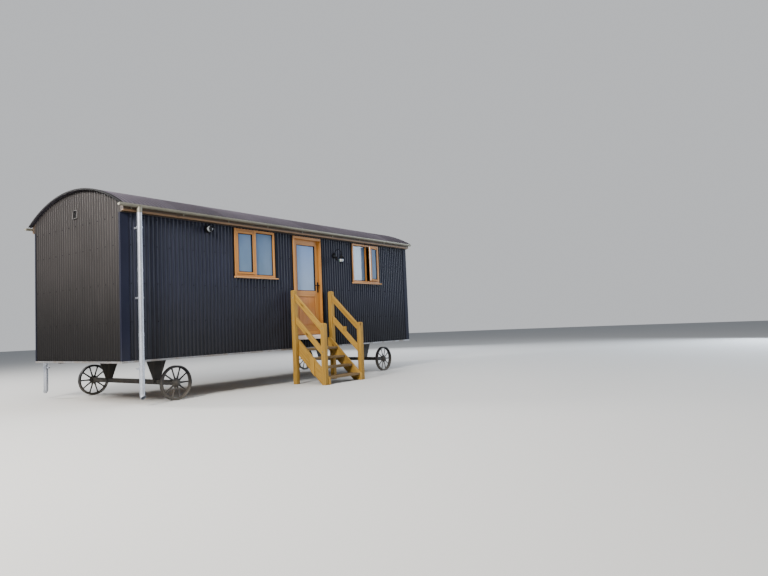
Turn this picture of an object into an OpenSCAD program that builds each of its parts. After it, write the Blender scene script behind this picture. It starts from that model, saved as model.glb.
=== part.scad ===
// Shepherds hut on iron wheels: corrugated skin, bowed roof, glazed door and timber steps.
// X runs along the hut, Y from the door side to the back, Z up from level ground.

/* [Body] */
// Length over the end cladding
body_l = 7770; // [7400:10:8200]
// Width over the side cladding
body_w = 2815; // [2700:5:2950]
// Height of the finished floor above the ground
floor_top_z = 870; // [850:2:900]
// Drop of the wall bottoms below the finished floor
skirt_drop = 194; // [180:2:200]
// Height of the walls from the finished floor to the underside of the roof deck
wall_h = 2246; // [2220:2:2320]
// Thickness of the floor with its joists
floor_t = 90; // [70:1:100]
// Thickness of the framed and lined walls
wall_t = 90; // [80:1:110]

/* [Cladding] */
// Pitch of the corrugations
wave_pitch = 76.2; // [70:0.1:100]
// Depth of the corrugations from crest to valley
wave_depth = 18; // [12:1:22]
// Thickness of the corrugated sheets
sheet_t = 1.5; // [1:0.1:2.5]
// Gap between a cut sheet and the frame that it meets
sheet_gap = 4; // [2:1:8]
// Width of a corner trim along the side wall
corner_side_w = 140; // [80:5:180]
// Width of a corner trim along the end wall
corner_end_w = 40; // [25:1:90]
// Thickness of the folded trims
trim_t = 2; // [1.5:0.1:3]
// Height of the drip trim along the wall bottoms
drip_h = 28; // [20:1:40]
// Width of the flat trims beside the frames
reveal_w = 34; // [20:1:45]

/* [Roof] */
// Radius of the bowed roof over the crests of its sheets
roof_r = 3000; // [2900:5:3100]
// Thickness of the bowed deck
deck_t = 55; // [45:1:65]
// Reach of the sheets past the side cladding
eaves_reach = 120; // [110:1:135]
// Reach of the roof past the end cladding
verge_reach = 60; // [40:1:80]
// Depth of the bowed verge trims
verge_h = 50; // [30:1:60]
// Width of the verge trims on top of the sheets
verge_top_w = 60; // [40:1:90]

/* [Fascia, gutters and pipes] */
// Drop of the fascia boards below the underside of the roof deck
fascia_drop = 118; // [105:1:125]
// Thickness of the doubled fascia boards
fascia_t = 95; // [85:1:100]
// Thickness of the inner board of each pair
fascia_inner_t = 45; // [35:1:55]
// Height of the outer board above the foot of the inner one
fascia_step = 16; // [8:1:24]
// Outer radius of the half-round gutters
gutter_r = 50; // [48:0.5:60]
// Thickness of the gutters and pipes
gutter_t = 2; // [1.5:0.1:3]
// Gap between the sheets and the gutter rim
gutter_drop = 5; // [3:1:15]
// Gap between the gutter and the fascia board
gutter_gap = 3; // [2:1:8]
// Distance between the gutter brackets
bracket_pitch = 900; // [700:10:1200]
// Reach of the gutters past the end cladding
gutter_reach = 100; // [90:5:180]
// Outer radius of the downpipes
pipe_r = 43.5; // [35:0.5:50]
// Distance of the downpipes from the hut end
pipe_x = 238; // [200:5:320]
// Height of the foot of the downpipes above the ground
pipe_foot_z = 130; // [100:5:300]
// Number of clips that hold a downpipe
pipe_clip_n = 3; // [2:1:3]
// Height of the lowest pipe clip
pipe_clip_z = 560; // [400:5:700]
// Distance between the pipe clips
pipe_clip_pitch = 1095; // [900:5:1120]

/* [Door] */
// Distance from the left end to the door frame
door_x = 3702; // [3600:2:3760]
// Width of the door frame
door_w = 861; // [800:1:900]
// Gap between the heads of the frames and the fascia boards
head_gap = 17; // [2:1:30]
// Height of the threshold on the floor
threshold_h = 78; // [40:1:90]
// Reach of the threshold past the side cladding
threshold_reach = 48; // [20:1:55]
// Face width of the door frame
jamb_w = 55; // [45:1:65]
// Reach of the frames past the side cladding
frame_proud = 15; // [8:1:25]
// Depth of the door frame in front of the closed leaf
jamb_stop_d = 60; // [45:1:65]
// Face width of the door frame beside the leaf
jamb_rebate_w = 40; // [30:1:44]
// Gap round the moving leaf
leaf_gap = 5; // [5:0.5:8]
// Thickness of the leaf
leaf_t = 45; // [38:1:50]
// Width of the stiles and the top rail
stile_w = 115; // [95:1:125]
// Height of the bottom rail
bottom_rail_h = 185; // [150:5:220]
// Height of the lower edge of the door glass over the floor
door_glass_up = 997; // [940:1:1030]
// Height of the middle rail
lock_rail_h = 111; // [90:1:130]
// Height of the lever over the floor
lever_up = 1115; // [1090:1:1140]
// Length of the lever
lever_l = 150; // [110:1:170]

/* [Windows] */
// Distance from the left end to the first window frame
window_a_x = 2207; // [2100:1:2400]
// Distance from the left end to the second window frame
window_b_x = 5590; // [5300:1:5700]
// Width of a window frame
window_w = 1022; // [900:2:1060]
// Height of a window frame
window_h = 888; // [800:2:920]
// Depth of a window frame
window_d = 75; // [65:1:90]
// Face width of a window frame and its mullion
window_bar = 52; // [40:1:60]
// Face width of a sash
sash_bar = 52; // [40:1:60]
// Depth of a sash
sash_d = 48; // [40:1:55]
// Gap round a sash
sash_gap = 4; // [3:0.5:6]
// Angle of the opened sash of the second window
sash_open = 17; // [5:1:40]
// Thickness of the double glazing
glass_t = 20; // [16:1:28]
// Reach of the sills past the side cladding
sill_reach = 55; // [40:1:80]
// Thickness of the sills
sill_t = 26; // [20:1:32]
// Reach of a sill past each side of its window
sill_horn = 20; // [10:1:40]

/* [Steps] */
// Distance from the left end to the centre of the first posts
post_x = 3599; // [3560:1:3620]
// Distance between the centres of the left and right posts
post_span = 1108; // [1080:1:1160]
// Side of the square posts
post_s = 95; // [85:1:100]
// Distance from the side cladding to the back of the rear posts
post_back = 52; // [50:1:70]
// Distance from the side cladding to the front of the front posts
post_front = 906; // [880:1:960]
// Reach of the rear posts above the ends of the top rails
rear_post_over = 80; // [60:1:110]
// Reach of the front posts above the ends of the top rails
front_post_over = 27; // [15:1:80]
// Height of the rounded post tops
post_round = 26; // [12:1:40]
// Number of treads
tread_n = 4; // [3:1:4]
// Distance from one nosing to the next
tread_going = 190; // [180:1:200]
// Depth of a tread
tread_d = 222; // [205:1:235]
// Thickness of a tread
tread_t = 45; // [35:1:50]
// Height of the first tread
tread_first_z = 150; // [145:1:165]
// Distance from the side cladding to the first nosing
nosing_front = 892; // [880:1:900]
// Reach of the stringer feet past the front posts
stringer_toe = 14; // [0:1:30]
// Thickness of a stringer
stringer_t = 45; // [38:1:50]
// Depth of a stringer
stringer_h = 228; // [200:1:245]
// Height of the level top of a stringer over the floor
stringer_over = 12; // [2:1:30]
// Depth of a rail
rail_h = 103; // [90:1:112]
// Thickness of a rail
rail_t = 42; // [34:1:48]
// Height of the top rails over the line of the nosings
rail_top_up = 922; // [900:1:940]
// Height of the middle rails over the line of the nosings
rail_mid_up = 474; // [440:1:500]

/* [Running gear] */
// Radius of the wheels
wheel_r = 285; // [260:1:300]
// Width of the wheel rims
wheel_w = 80; // [70:1:100]
// Distance from each hut end to its axle
axle_x = 1000; // [950:5:1040]
// Distance from the side cladding to the wheel face
wheel_in = 60; // [40:1:100]
// Radius of the axle ends
axle_r = 26; // [20:1:30]
// Clearance of a wheel hub round its axle
axle_gap = 0.5; // [0.2:0.1:1]
// Side of the square axle bars
axle_s = 76; // [60:1:90]
// Height of the chassis rails
rail_beam_h = 125; // [100:1:127]
// Flange width of the chassis rails
rail_beam_w = 65; // [50:1:75]
// Distance between the chassis rails
rail_beam_span = 1500; // [1300:10:1600]
// Number of spokes in a wheel
spoke_n = 10; // [8:1:12]

/* [Fittings] */
// Distance from the left end to the lantern
lantern_x = 4960; // [4880:5:5100]
// Drop of the lantern wall plate below the heads of the frames
lantern_drop = 331; // [280:1:400]
// Reach of the lantern from the side cladding
lantern_reach = 220; // [160:5:260]
// Rise of the lantern arm above the middle of its plate
lantern_arm_up = 30; // [20:1:32]
// Drop of the lantern glass below the middle of the plate
lantern_glass_drop = 150; // [120:1:170]
// Height of the lantern glass
lantern_glass_h = 92; // [70:1:100]
// Radius of the lantern glass
lantern_glass_r = 42; // [30:1:46]
// Distance from the left end to the eaves lamp
eaves_lamp_x = 1625; // [1500:5:1700]
// Gap between the eaves lamp and the fascia board
eaves_lamp_gap = 20; // [4:1:60]
// Radius of the eaves lamp
eaves_lamp_r = 88; // [60:1:90]
// Side of the end vent
vent_s = 140; // [110:5:160]
// Drop of the middle of the end vent below the roof crest
vent_drop = 407; // [390:1:500]
// Distance from the side cladding to the middle of the end vent
vent_y = 1345; // [1200:5:1600]

/* [Hidden] */

// Fineness of round forms, and of the great arc of the roof
$fn = 48;
arc_fn = 360;
// Points along one corrugation
wave_steps = 8;
// Overshoot of a cutting tool
cut = 5;
// Clearance of a skin from the surface that closes it
skin_gap = 1;

// The plan is centred on the origin: steps in front, gutter behind
gutter_out = fascia_t + gutter_gap + 2 * gutter_r;
front_y = (post_front + stringer_toe - body_w - gutter_out) / 2;
back_y = front_y + body_w;
mid_y = (front_y + back_y) / 2;
left_x = -body_l / 2;
right_x = body_l / 2;

// Depth that the corrugated sheets take up on each face
clad_d = wave_depth + sheet_t;
wall_out = clad_d;
wall_in = clad_d + wall_t;

// Heights from the ground up
skirt_z = floor_top_z - skirt_drop;
plate_z = floor_top_z + wall_h;
fascia_bottom_z = plate_z - fascia_drop;
door_head_z = fascia_bottom_z - head_gap;
window_head_z = fascia_bottom_z - head_gap;
window_z = window_head_z - window_h;
window_xs = [window_a_x, window_b_x];

// The bowed roof: its underside meets the outer faces of the side walls at the plate
sheet_r_in = roof_r - clad_d;
deck_r_in = sheet_r_in - deck_t;
roof_axis_z = plate_z - sqrt(deck_r_in * deck_r_in - body_w * body_w / 4);
roof_apex_z = roof_axis_z + roof_r;
function arc_z(r, off) = roof_axis_z + sqrt(r * r - off * off);
clad_top_z = arc_z(deck_r_in, body_w / 2) - skin_gap;
eaves_angle = 2 * asin((body_w / 2 + eaves_reach) / roof_r);
gutter_rim_z = arc_z(sheet_r_in, body_w / 2 + fascia_t + gutter_gap) - gutter_drop;
gutter_y = front_y - fascia_t - gutter_gap - gutter_r;

// Openings of the front wall
door_l = left_x + door_x;
door_r = door_l + door_w;
jamb_y = front_y - frame_proud;
leaf_y = jamb_y + jamb_stop_d + leaf_gap;
leaf_l = door_l + jamb_rebate_w + leaf_gap;
leaf_w = door_w - 2 * (jamb_rebate_w + leaf_gap);
threshold_z = floor_top_z + threshold_h;
leaf_z = threshold_z + leaf_gap;
leaf_top_z = door_head_z - jamb_rebate_w - leaf_gap;
leaf_glass_w = leaf_w - 2 * stile_w;
door_glass_z = floor_top_z + door_glass_up;
door_glass_h = leaf_top_z - stile_w - door_glass_z;
panel_z = leaf_z + bottom_rail_h;
panel_h = door_glass_z - lock_rail_h - panel_z;
lever_x = leaf_l + leaf_w - stile_w / 2;
lever_z = floor_top_z + lever_up;

// Lights of a window: the left and right halves either side of the mullion
light_w = (window_w - 3 * window_bar) / 2;
light_z = window_z + window_bar;
light_h = window_head_z - window_z - 2 * window_bar;
sash_w = light_w - 2 * sash_gap;
sash_h = light_h - 2 * sash_gap;

// Steps: equal rises up to the floor, and the line of the nosings outwards from the side cladding
tread_rise = (floor_top_z - tread_first_z) / tread_n;
function nosing_z(out) = tread_first_z + (nosing_front - out) * tread_rise / tread_going;
pitch = atan(tread_rise / tread_going);
left_post_x = left_x + post_x;
right_post_x = left_post_x + post_span;
stringer_left_x = left_post_x + post_s / 2;
stringer_right_x = right_post_x - post_s / 2 - stringer_t;
stringer_drop = stringer_h / cos(pitch);
stringer_top_z = floor_top_z + stringer_over;
front_rail_out = post_front - post_s;
rear_rail_out = post_back + post_s;

// Running gear
rail_top_z = floor_top_z - floor_t;
rail_bottom_z = rail_top_z - rail_beam_h;
rail_in_y = mid_y - rail_beam_span / 2;
wheel_front_y = front_y + wheel_in;
wheel_back_y = back_y - wheel_in - wheel_w;

// Fittings
lantern_z = window_head_z - lantern_drop;
eaves_lamp_z = fascia_bottom_z - eaves_lamp_gap - eaves_lamp_r;
vent_z = roof_apex_z - vent_drop;

// Block between two corners
module block(a, b) {
  translate(a) cube([b[0] - a[0], b[1] - a[1], b[2] - a[2]]);
}

// Solid round bar along X about the roof axis
module roof_core(r, x0, x1) {
  translate([x0, mid_y, roof_axis_z]) rotate([0, 90, 0]) cylinder(h = x1 - x0, r = r, $fn = arc_fn);
}

// Round bar along X, Y or Z from a centre
module bar_x(at, l, r) {
  translate(at) rotate([0, 90, 0]) cylinder(h = l, r = r);
}

module bar_y(at, l, r) {
  translate(at) rotate([-90, 0, 0]) cylinder(h = l, r = r);
}

// Rectangular ring in the plane of a side wall: outer size, bar widths, depth
module ring(at, w, h, side, foot, head, d) {
  difference() {
    translate(at) cube([w, d, h]);
    translate([at[0] + side, at[1] - cut, at[2] + foot])
      cube([w - 2 * side, d + 2 * cut, h - foot - head]);
  }
}

// Outline of a corrugated sheet: a cosine wave with its crests at zero, sheet_t thick
function wave_count(l) = round(l / wave_pitch);
function wave_y(i) = wave_depth * (1 - cos(360 * i / wave_steps)) / 2;
function wave_points(l) = let (n = wave_count(l) * wave_steps, s = l / n) concat(
  [for (i = [0:n]) [i * s, wave_y(i)]],
  [for (i = [n:-1:0]) [i * s, wave_y(i) + sheet_t]]
);

// Upright corrugated sheet along X, facing -Y, from its lower left crest
module wave_sheet(at, l, h) {
  translate(at) linear_extrude(height = h) polygon(wave_points(l));
}

// The front wall is a plain slab between the end walls, cut to the underside of the deck
module front_slab(x0, x1, z0, z1) {
  intersection() {
    block([x0, front_y + wall_out, z0], [x1, front_y + wall_in, z1]);
    roof_core(deck_r_in, x0, x1);
  }
}

module window_hole(x) {
  block([left_x + x, front_y - cut, window_z], [left_x + x + window_w, front_y + wall_in + cut, window_head_z]);
}

// Both sides of the hut about its long middle line
module both_sides() {
  children();
  translate([0, 2 * mid_y, 0]) mirror([0, 1, 0]) children();
}

// Both ends of the hut
module both_ends() {
  children();
  mirror([1, 0, 0]) children();
}

// Steel channels under the floor, flanges outwards
module chassis_rails() {
  web = 8;
  flange = 11;
  color("dimgray") both_sides() difference() {
    block([left_x + wall_in, rail_in_y - rail_beam_w, rail_bottom_z], [right_x - wall_in, rail_in_y, rail_top_z]);
    block([left_x + wall_in - cut, rail_in_y - rail_beam_w - cut, rail_bottom_z + flange],
      [right_x - wall_in + cut, rail_in_y - web, rail_top_z - flange]);
  }
}

// Box bars across the chassis, butted between the channels under the floor
module cross_bars() {
  bar_n = 5;
  bar_w = 50;
  x0 = left_x + wall_in;
  pitch_x = (body_l - 2 * wall_in - bar_w) / (bar_n - 1);
  color("dimgray") for (k = [0:bar_n - 1])
    block([x0 + k * pitch_x, rail_in_y, rail_top_z - rail_beam_h / 2],
      [x0 + k * pitch_x + bar_w, rail_in_y + rail_beam_span, rail_top_z]);
}

// Square axle bar with round ends and collars, hung from the rails on two plates
module axle(x) {
  plate_t = 14;
  plate_w = 190;
  collar_r = 44;
  collar_d = 14;
  end_d = 22;
  color("dimgray") {
    block([x - axle_s / 2, wheel_front_y + wheel_w + collar_d, wheel_r - axle_s / 2],
      [x + axle_s / 2, wheel_back_y - collar_d, wheel_r + axle_s / 2]);
    both_sides() {
      bar_y([x, wheel_front_y - end_d, wheel_r], end_d + wheel_w + 2 * collar_d, axle_r);
      bar_y([x, wheel_front_y - collar_d, wheel_r], collar_d, collar_r);
      bar_y([x, wheel_front_y + wheel_w, wheel_r], collar_d, collar_r);
    }
    both_sides() translate([0, rail_in_y - plate_t, 0])
      rotate([90, 0, 180]) mirror([1, 0, 0]) linear_extrude(height = plate_t) polygon([
        [x - axle_s / 2, wheel_r - axle_s / 2], [x + axle_s / 2, wheel_r - axle_s / 2],
        [x + plate_w, rail_bottom_z], [x - plate_w, rail_bottom_z]
      ]);
  }
}

module axles() {
  axle(left_x + axle_x);
  axle(right_x - axle_x);
}

// Cast wheel: rim with an inner rib, hub and tapering spokes
module wheel(x, y) {
  rim_t = 22;
  rib_w = 18;
  rib_h = 40;
  hub_r = 62;
  spoke_w0 = 34;
  spoke_w1 = 22;
  spoke_t = 16;
  translate([x, y, wheel_r]) rotate([-90, 0, 0]) {
    difference() {
      cylinder(h = wheel_w, r = wheel_r, $fn = 96);
      translate([0, 0, -cut]) cylinder(h = wheel_w + 2 * cut, r = wheel_r - rim_t, $fn = 96);
    }
    difference() {
      translate([0, 0, (wheel_w - rib_w) / 2]) cylinder(h = rib_w, r = wheel_r - rim_t / 2, $fn = 96);
      translate([0, 0, -cut]) cylinder(h = wheel_w + 2 * cut, r = wheel_r - rib_h, $fn = 96);
    }
    difference() {
      union() {
        cylinder(h = wheel_w, r = hub_r);
        for (i = [0:spoke_n - 1]) rotate([0, 0, i * 360 / spoke_n])
          translate([0, 0, (wheel_w - spoke_t) / 2]) linear_extrude(height = spoke_t) polygon([
            [0, -spoke_w0 / 2], [wheel_r - rib_h + rim_t / 2, -spoke_w1 / 2],
            [wheel_r - rib_h + rim_t / 2, spoke_w1 / 2], [0, spoke_w0 / 2]
          ]);
      }
      translate([0, 0, -cut]) cylinder(h = wheel_w + 2 * cut, r = axle_r + axle_gap);
    }
  }
}

module wheels() {
  color("black") for (x = [left_x + axle_x, right_x - axle_x], y = [wheel_front_y, wheel_back_y]) wheel(x, y);
}

// Floor platform between the walls
module floor() {
  color("tan") block([left_x + wall_in, front_y + wall_in, floor_top_z - floor_t],
    [right_x - wall_in, back_y - wall_in, floor_top_z]);
}

module front_wall_left() {
  color("whitesmoke") difference() {
    front_slab(left_x + wall_in, door_l, skirt_z, roof_apex_z);
    window_hole(window_xs[0]);
  }
}

module front_wall_right() {
  color("whitesmoke") difference() {
    front_slab(door_r, right_x - wall_in, skirt_z, roof_apex_z);
    window_hole(window_xs[1]);
  }
}

module front_wall_over_door() {
  color("whitesmoke") front_slab(door_l, door_r, door_head_z, roof_apex_z);
}

module front_wall_under_door() {
  color("whitesmoke") front_slab(door_l, door_r, skirt_z, floor_top_z);
}

module back_wall() {
  color("whitesmoke") translate([0, 2 * mid_y, 0]) mirror([0, 1, 0])
    front_slab(left_x + wall_in, right_x - wall_in, skirt_z, roof_apex_z);
}

// End wall under the bow of the roof
module end_wall() {
  intersection() {
    block([left_x + wall_out, front_y + wall_out, skirt_z], [left_x + wall_in, back_y - wall_out, roof_apex_z]);
    roof_core(deck_r_in, left_x, left_x + 2 * wall_in);
  }
}

module left_end_wall() {
  color("whitesmoke") end_wall();
}

module right_end_wall() {
  color("whitesmoke") mirror([1, 0, 0]) end_wall();
}

// Corrugated skin of the door side, cut round the frames
module front_cladding() {
  color("#20242c") difference() {
    wave_sheet([left_x + clad_d, front_y, skirt_z], body_l - 2 * clad_d, clad_top_z - skirt_z);
    for (x = window_xs)
      block([left_x + x - sheet_gap, front_y - cut, window_z - sill_t - sheet_gap],
        [left_x + x + window_w + sheet_gap, front_y + clad_d + cut, window_head_z + sheet_gap]);
    block([door_l - sheet_gap, front_y - cut, floor_top_z - sheet_gap],
      [door_r + sheet_gap, front_y + clad_d + cut, door_head_z + sheet_gap]);
  }
}

module back_cladding() {
  color("#20242c") translate([0, 2 * mid_y, 0]) mirror([0, 1, 0])
    wave_sheet([left_x + clad_d, front_y, skirt_z], body_l - 2 * clad_d, clad_top_z - skirt_z);
}

// Corrugated skin of an end, cut to the bow of the roof
module end_cladding() {
  intersection() {
    translate([left_x, back_y - clad_d, skirt_z]) rotate([0, 0, -90])
      wave_sheet([0, 0, 0], body_w - 2 * clad_d, roof_apex_z - skirt_z);
    roof_core(sheet_r_in - skin_gap, left_x - cut, left_x + clad_d + cut);
  }
}

module left_end_cladding() {
  color("#3a3633") end_cladding();
}

module right_end_cladding() {
  color("#3a3633") mirror([1, 0, 0]) end_cladding();
}

// Folded corner flashings, a wide leg on the side and a narrow one on the end
module corner_trims() {
  color("#20242c") both_ends() both_sides() {
    translate([left_x - trim_t, front_y - trim_t, skirt_z + drip_h])
      linear_extrude(height = fascia_bottom_z - skirt_z - drip_h)
        polygon([[0, 0], [corner_side_w, 0], [corner_side_w, trim_t], [trim_t, trim_t],
          [trim_t, corner_end_w], [0, corner_end_w]]);
  }
}

// Pale drip angles under the cladding: a face in front of the crests and a foot beneath
module drip_trims() {
  color("silver") difference() {
    block([left_x - trim_t, front_y - trim_t, skirt_z - trim_t],
      [right_x + trim_t, back_y + trim_t, skirt_z + drip_h]);
    block([left_x, front_y, skirt_z], [right_x, back_y, skirt_z + drip_h + cut]);
    block([left_x + clad_d, front_y + clad_d, skirt_z - trim_t - cut],
      [right_x - clad_d, back_y - clad_d, skirt_z + cut]);
  }
}

// Flat flashings that cover the cut sheets beside and under the frames
module reveal_trims() {
  color("#14161b") {
    for (x = window_xs) for (side = [-reveal_w, window_w])
      block([left_x + x + side, front_y - trim_t, window_z],
        [left_x + x + side + reveal_w, front_y, window_head_z]);
    for (side = [-reveal_w, door_w])
      block([door_l + side, front_y - trim_t, floor_top_z], [door_l + side + reveal_w, front_y, door_head_z]);
  }
}

// Bowed deck of the roof, its underside the ceiling
module roof_deck() {
  color("bisque") intersection() {
    difference() {
      roof_core(sheet_r_in, left_x + clad_d, right_x - clad_d);
      roof_core(deck_r_in, left_x, right_x);
    }
    block([left_x, front_y, fascia_bottom_z], [right_x, back_y, roof_apex_z]);
  }
}

// Curved corrugated sheets: the wave is swept along the bow of the roof
module roof_sheets() {
  l = body_l + 2 * verge_reach;
  color("#6c6a78") translate([left_x - verge_reach, mid_y, roof_axis_z])
    rotate([90, 0, 90]) rotate([0, 0, 90 - eaves_angle / 2])
      rotate_extrude(angle = eaves_angle, $fn = arc_fn)
        polygon([for (p = wave_points(l)) [roof_r - p[1], p[0]]]);
}

// Bowed steel angle over each roof end: a leg notched over the gutters and a flange over the crests
module verge_trim() {
  x0 = left_x - verge_reach;
  difference() {
    translate([0, mid_y, roof_axis_z]) rotate([90, 0, 90]) rotate([0, 0, 90 - eaves_angle / 2])
      rotate_extrude(angle = eaves_angle, $fn = arc_fn) polygon([
        [roof_r - verge_h, x0 - trim_t], [roof_r + trim_t, x0 - trim_t], [roof_r + trim_t, x0 + verge_top_w],
        [roof_r, x0 + verge_top_w], [roof_r, x0], [roof_r - verge_h, x0]
      ]);
    both_sides() block([x0 - trim_t - cut, front_y - eaves_reach - cut, fascia_bottom_z],
      [x0 + cut, front_y - fascia_t, gutter_rim_z + gutter_drop]);
  }
}

module verge_trims() {
  color("#26272d") both_ends() verge_trim();
}

// Doubled stained boards under the eaves, bevelled to the sheets, the inner one a little deeper
module fascia_boards() {
  step_y = front_y - fascia_inner_t;
  step_z = fascia_bottom_z + fascia_step;
  color("#96643a") both_sides() intersection() {
    translate([left_x, 0, 0]) rotate([90, 0, 90]) linear_extrude(height = body_l) polygon([
      [front_y, fascia_bottom_z], [front_y, roof_apex_z], [front_y - fascia_t, roof_apex_z],
      [front_y - fascia_t, step_z], [step_y, step_z], [step_y, fascia_bottom_z]
    ]);
    roof_core(sheet_r_in, left_x - cut, right_x + cut);
  }
}

// Bracket of a gutter: a strap round the channel and a leg on the fascia
module gutter_bracket(x) {
  strap_w = 25;
  strap_t = 3;
  leg_h = 46;
  difference() {
    bar_x([x, gutter_y, gutter_rim_z], strap_w, gutter_r + strap_t);
    bar_x([x - cut, gutter_y, gutter_rim_z], strap_w + 2 * cut, gutter_r - gutter_t / 2);
    block([x - cut, gutter_y - 2 * gutter_r, gutter_rim_z],
      [x + strap_w + cut, gutter_y + 2 * gutter_r, gutter_rim_z + 2 * gutter_r]);
  }
  block([x, gutter_y + gutter_r, gutter_rim_z - leg_h], [x + strap_w, front_y - fascia_t, gutter_rim_z]);
}

// Half-round channel with a stop at each end, an outlet over the pipe and its brackets
module gutter() {
  l = body_l + 2 * gutter_reach;
  x0 = left_x - gutter_reach;
  bracket_in = 120;
  lip_r = 6;
  bracket_n = floor((body_l - 2 * bracket_in) / bracket_pitch);
  difference() {
    bar_x([x0, gutter_y, gutter_rim_z], l, gutter_r);
    bar_x([x0 + gutter_t, gutter_y, gutter_rim_z], l - 2 * gutter_t, gutter_r - gutter_t);
    block([x0 - cut, gutter_y - gutter_r - cut, gutter_rim_z],
      [x0 + l + cut, gutter_y + gutter_r + cut, gutter_rim_z + gutter_r + cut]);
    translate([left_x + pipe_x, gutter_y, gutter_rim_z - gutter_r - cut])
      cylinder(h = gutter_r, r = pipe_r - gutter_t);
  }
  bar_x([x0, gutter_y - gutter_r + lip_r, gutter_rim_z], l, lip_r);
  for (i = [0:bracket_n]) gutter_bracket(left_x + bracket_in + i * (body_l - 2 * bracket_in) / bracket_n);
}

module gutters() {
  color("#b9bdb2") both_sides() gutter();
}

// Wall of the pipe, in section
module pipe_wall() {
  difference() {
    circle(r = pipe_r);
    circle(r = pipe_r - gutter_t);
  }
}

// Round pipe from the gutter outlet to a shoe near the ground, held by clips
module downpipe() {
  x = left_x + pipe_x;
  bend_r = pipe_r + 12;
  bend = 60;
  bend_z = pipe_foot_z + bend_r;
  clip_w = 28;
  clip_t = 4;
  arm_w = 16;
  difference() {
    translate([x, gutter_y, bend_z]) linear_extrude(height = gutter_rim_z - bend_z) pipe_wall();
    bar_x([x - 2 * pipe_r, gutter_y, gutter_rim_z], 4 * pipe_r, gutter_r);
  }
  translate([x, gutter_y - bend_r, bend_z]) rotate([90, 0, 90]) rotate([0, 0, -bend])
    rotate_extrude(angle = bend) translate([bend_r, 0]) pipe_wall();
  for (k = [0:pipe_clip_n - 1]) {
    z = pipe_clip_z + k * pipe_clip_pitch;
    translate([x, gutter_y, z]) linear_extrude(height = clip_w) difference() {
      circle(r = pipe_r + clip_t);
      circle(r = pipe_r - gutter_t / 2);
    }
    block([x - arm_w / 2, gutter_y + pipe_r - gutter_t / 2, z], [x + arm_w / 2, front_y, z + clip_w]);
  }
}

module downpipes() {
  color("#aebac6") both_sides() downpipe();
}

// Timber frame of the door: a wide stop in front, a narrow rebate beside the leaf
module door_frame() {
  color("#bd7d45") {
    difference() {
      block([door_l, jamb_y, threshold_z], [door_r, front_y + wall_in, door_head_z]);
      block([door_l + jamb_rebate_w, jamb_y - cut, threshold_z - cut],
        [door_r - jamb_rebate_w, front_y + wall_in + cut, door_head_z - jamb_rebate_w]);
    }
    difference() {
      block([door_l + jamb_rebate_w, jamb_y, threshold_z],
        [door_r - jamb_rebate_w, jamb_y + jamb_stop_d, door_head_z - jamb_rebate_w]);
      block([door_l + jamb_w, jamb_y - cut, threshold_z - cut],
        [door_r - jamb_w, jamb_y + jamb_stop_d + cut, door_head_z - jamb_w]);
    }
  }
}

// Pale weathered threshold under the frame
module door_threshold() {
  color("#e6d8d2") block([door_l, front_y - threshold_reach, floor_top_z],
    [door_r, front_y + wall_in, threshold_z]);
}

// Framed leaf with a glass opening over a panel opening, and a bore for the spindle
module door_leaf() {
  color("#c07f47") difference() {
    block([leaf_l, leaf_y, leaf_z], [leaf_l + leaf_w, leaf_y + leaf_t, leaf_top_z]);
    block([leaf_l + stile_w, leaf_y - cut, panel_z],
      [leaf_l + leaf_w - stile_w, leaf_y + leaf_t + cut, panel_z + panel_h]);
    block([leaf_l + stile_w, leaf_y - cut, door_glass_z],
      [leaf_l + leaf_w - stile_w, leaf_y + leaf_t + cut, door_glass_z + door_glass_h]);
    bar_y([lever_x, leaf_y - cut, lever_z], leaf_t + 2 * cut, spindle_r + spindle_gap);
  }
}

// Double glazing, centred in the leaf
module door_glass() {
  color("lightblue", 0.5) translate([leaf_l + stile_w, leaf_y + (leaf_t - glass_t) / 2, door_glass_z])
    cube([leaf_glass_w, glass_t, door_glass_h]);
}

// Raised and fielded panel: a thin board with a thicker sloping middle
module door_panel() {
  board_t = 14;
  field_in = 34;
  field_t = 24;
  x0 = leaf_l + stile_w;
  y0 = leaf_y + leaf_t / 2;
  color("#b87540") {
    translate([x0, y0 - board_t / 2, panel_z]) cube([leaf_glass_w, board_t, panel_h]);
    translate([x0 + field_in, y0 - field_t / 2, panel_z + field_in])
      cube([leaf_glass_w - 2 * field_in, field_t, panel_h - 2 * field_in]);
  }
}

// Black backplates on both faces of the leaf, with the spindle bore
plate_w = 40;
plate_h = 225;
plate_t = 8;
plate_up = 75;
spindle_r = 8;
spindle_gap = 0.5;
module door_plates() {
  color("black") for (y = [leaf_y - plate_t, leaf_y + leaf_t]) difference() {
    translate([lever_x - plate_w / 2, y, lever_z + plate_up - plate_h]) cube([plate_w, plate_t, plate_h]);
    bar_y([lever_x, y - cut, lever_z], plate_t + 2 * cut, spindle_r + spindle_gap);
  }
}

// Lever handles on both faces: a knuckle and a grip each, on one spindle
lever_out = 48;
lever_r = 9;
knuckle_r = 13;
knuckle_d = 24;
module door_lever() {
  color("black") {
    bar_y([lever_x, leaf_y - plate_t - lever_out, lever_z], leaf_t + 2 * (plate_t + lever_out), spindle_r);
    for (y = [leaf_y - plate_t - lever_out, leaf_y + leaf_t + plate_t + lever_out - knuckle_d]) {
      bar_y([lever_x, y, lever_z], knuckle_d, knuckle_r);
      translate([lever_x, y + knuckle_d / 2, lever_z]) rotate([0, -90, 0]) cylinder(h = lever_l, r = lever_r);
    }
  }
}

// Window frames with a mullion, standing a little proud of the cladding
module window_frames() {
  color("#c4864c") for (x = window_xs) difference() {
    translate([left_x + x, jamb_y, window_z]) cube([window_w, window_d, window_head_z - window_z]);
    for (k = [0, 1]) translate([left_x + x + window_bar + k * (light_w + window_bar), jamb_y - cut, light_z])
      cube([light_w, window_d + 2 * cut, light_h]);
  }
}

// Sash about its hinge side: a rectangular ring in its light
module sash() {
  ring([0, 0, 0], sash_w, sash_h, sash_bar, sash_bar, sash_bar, sash_d);
}

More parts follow.
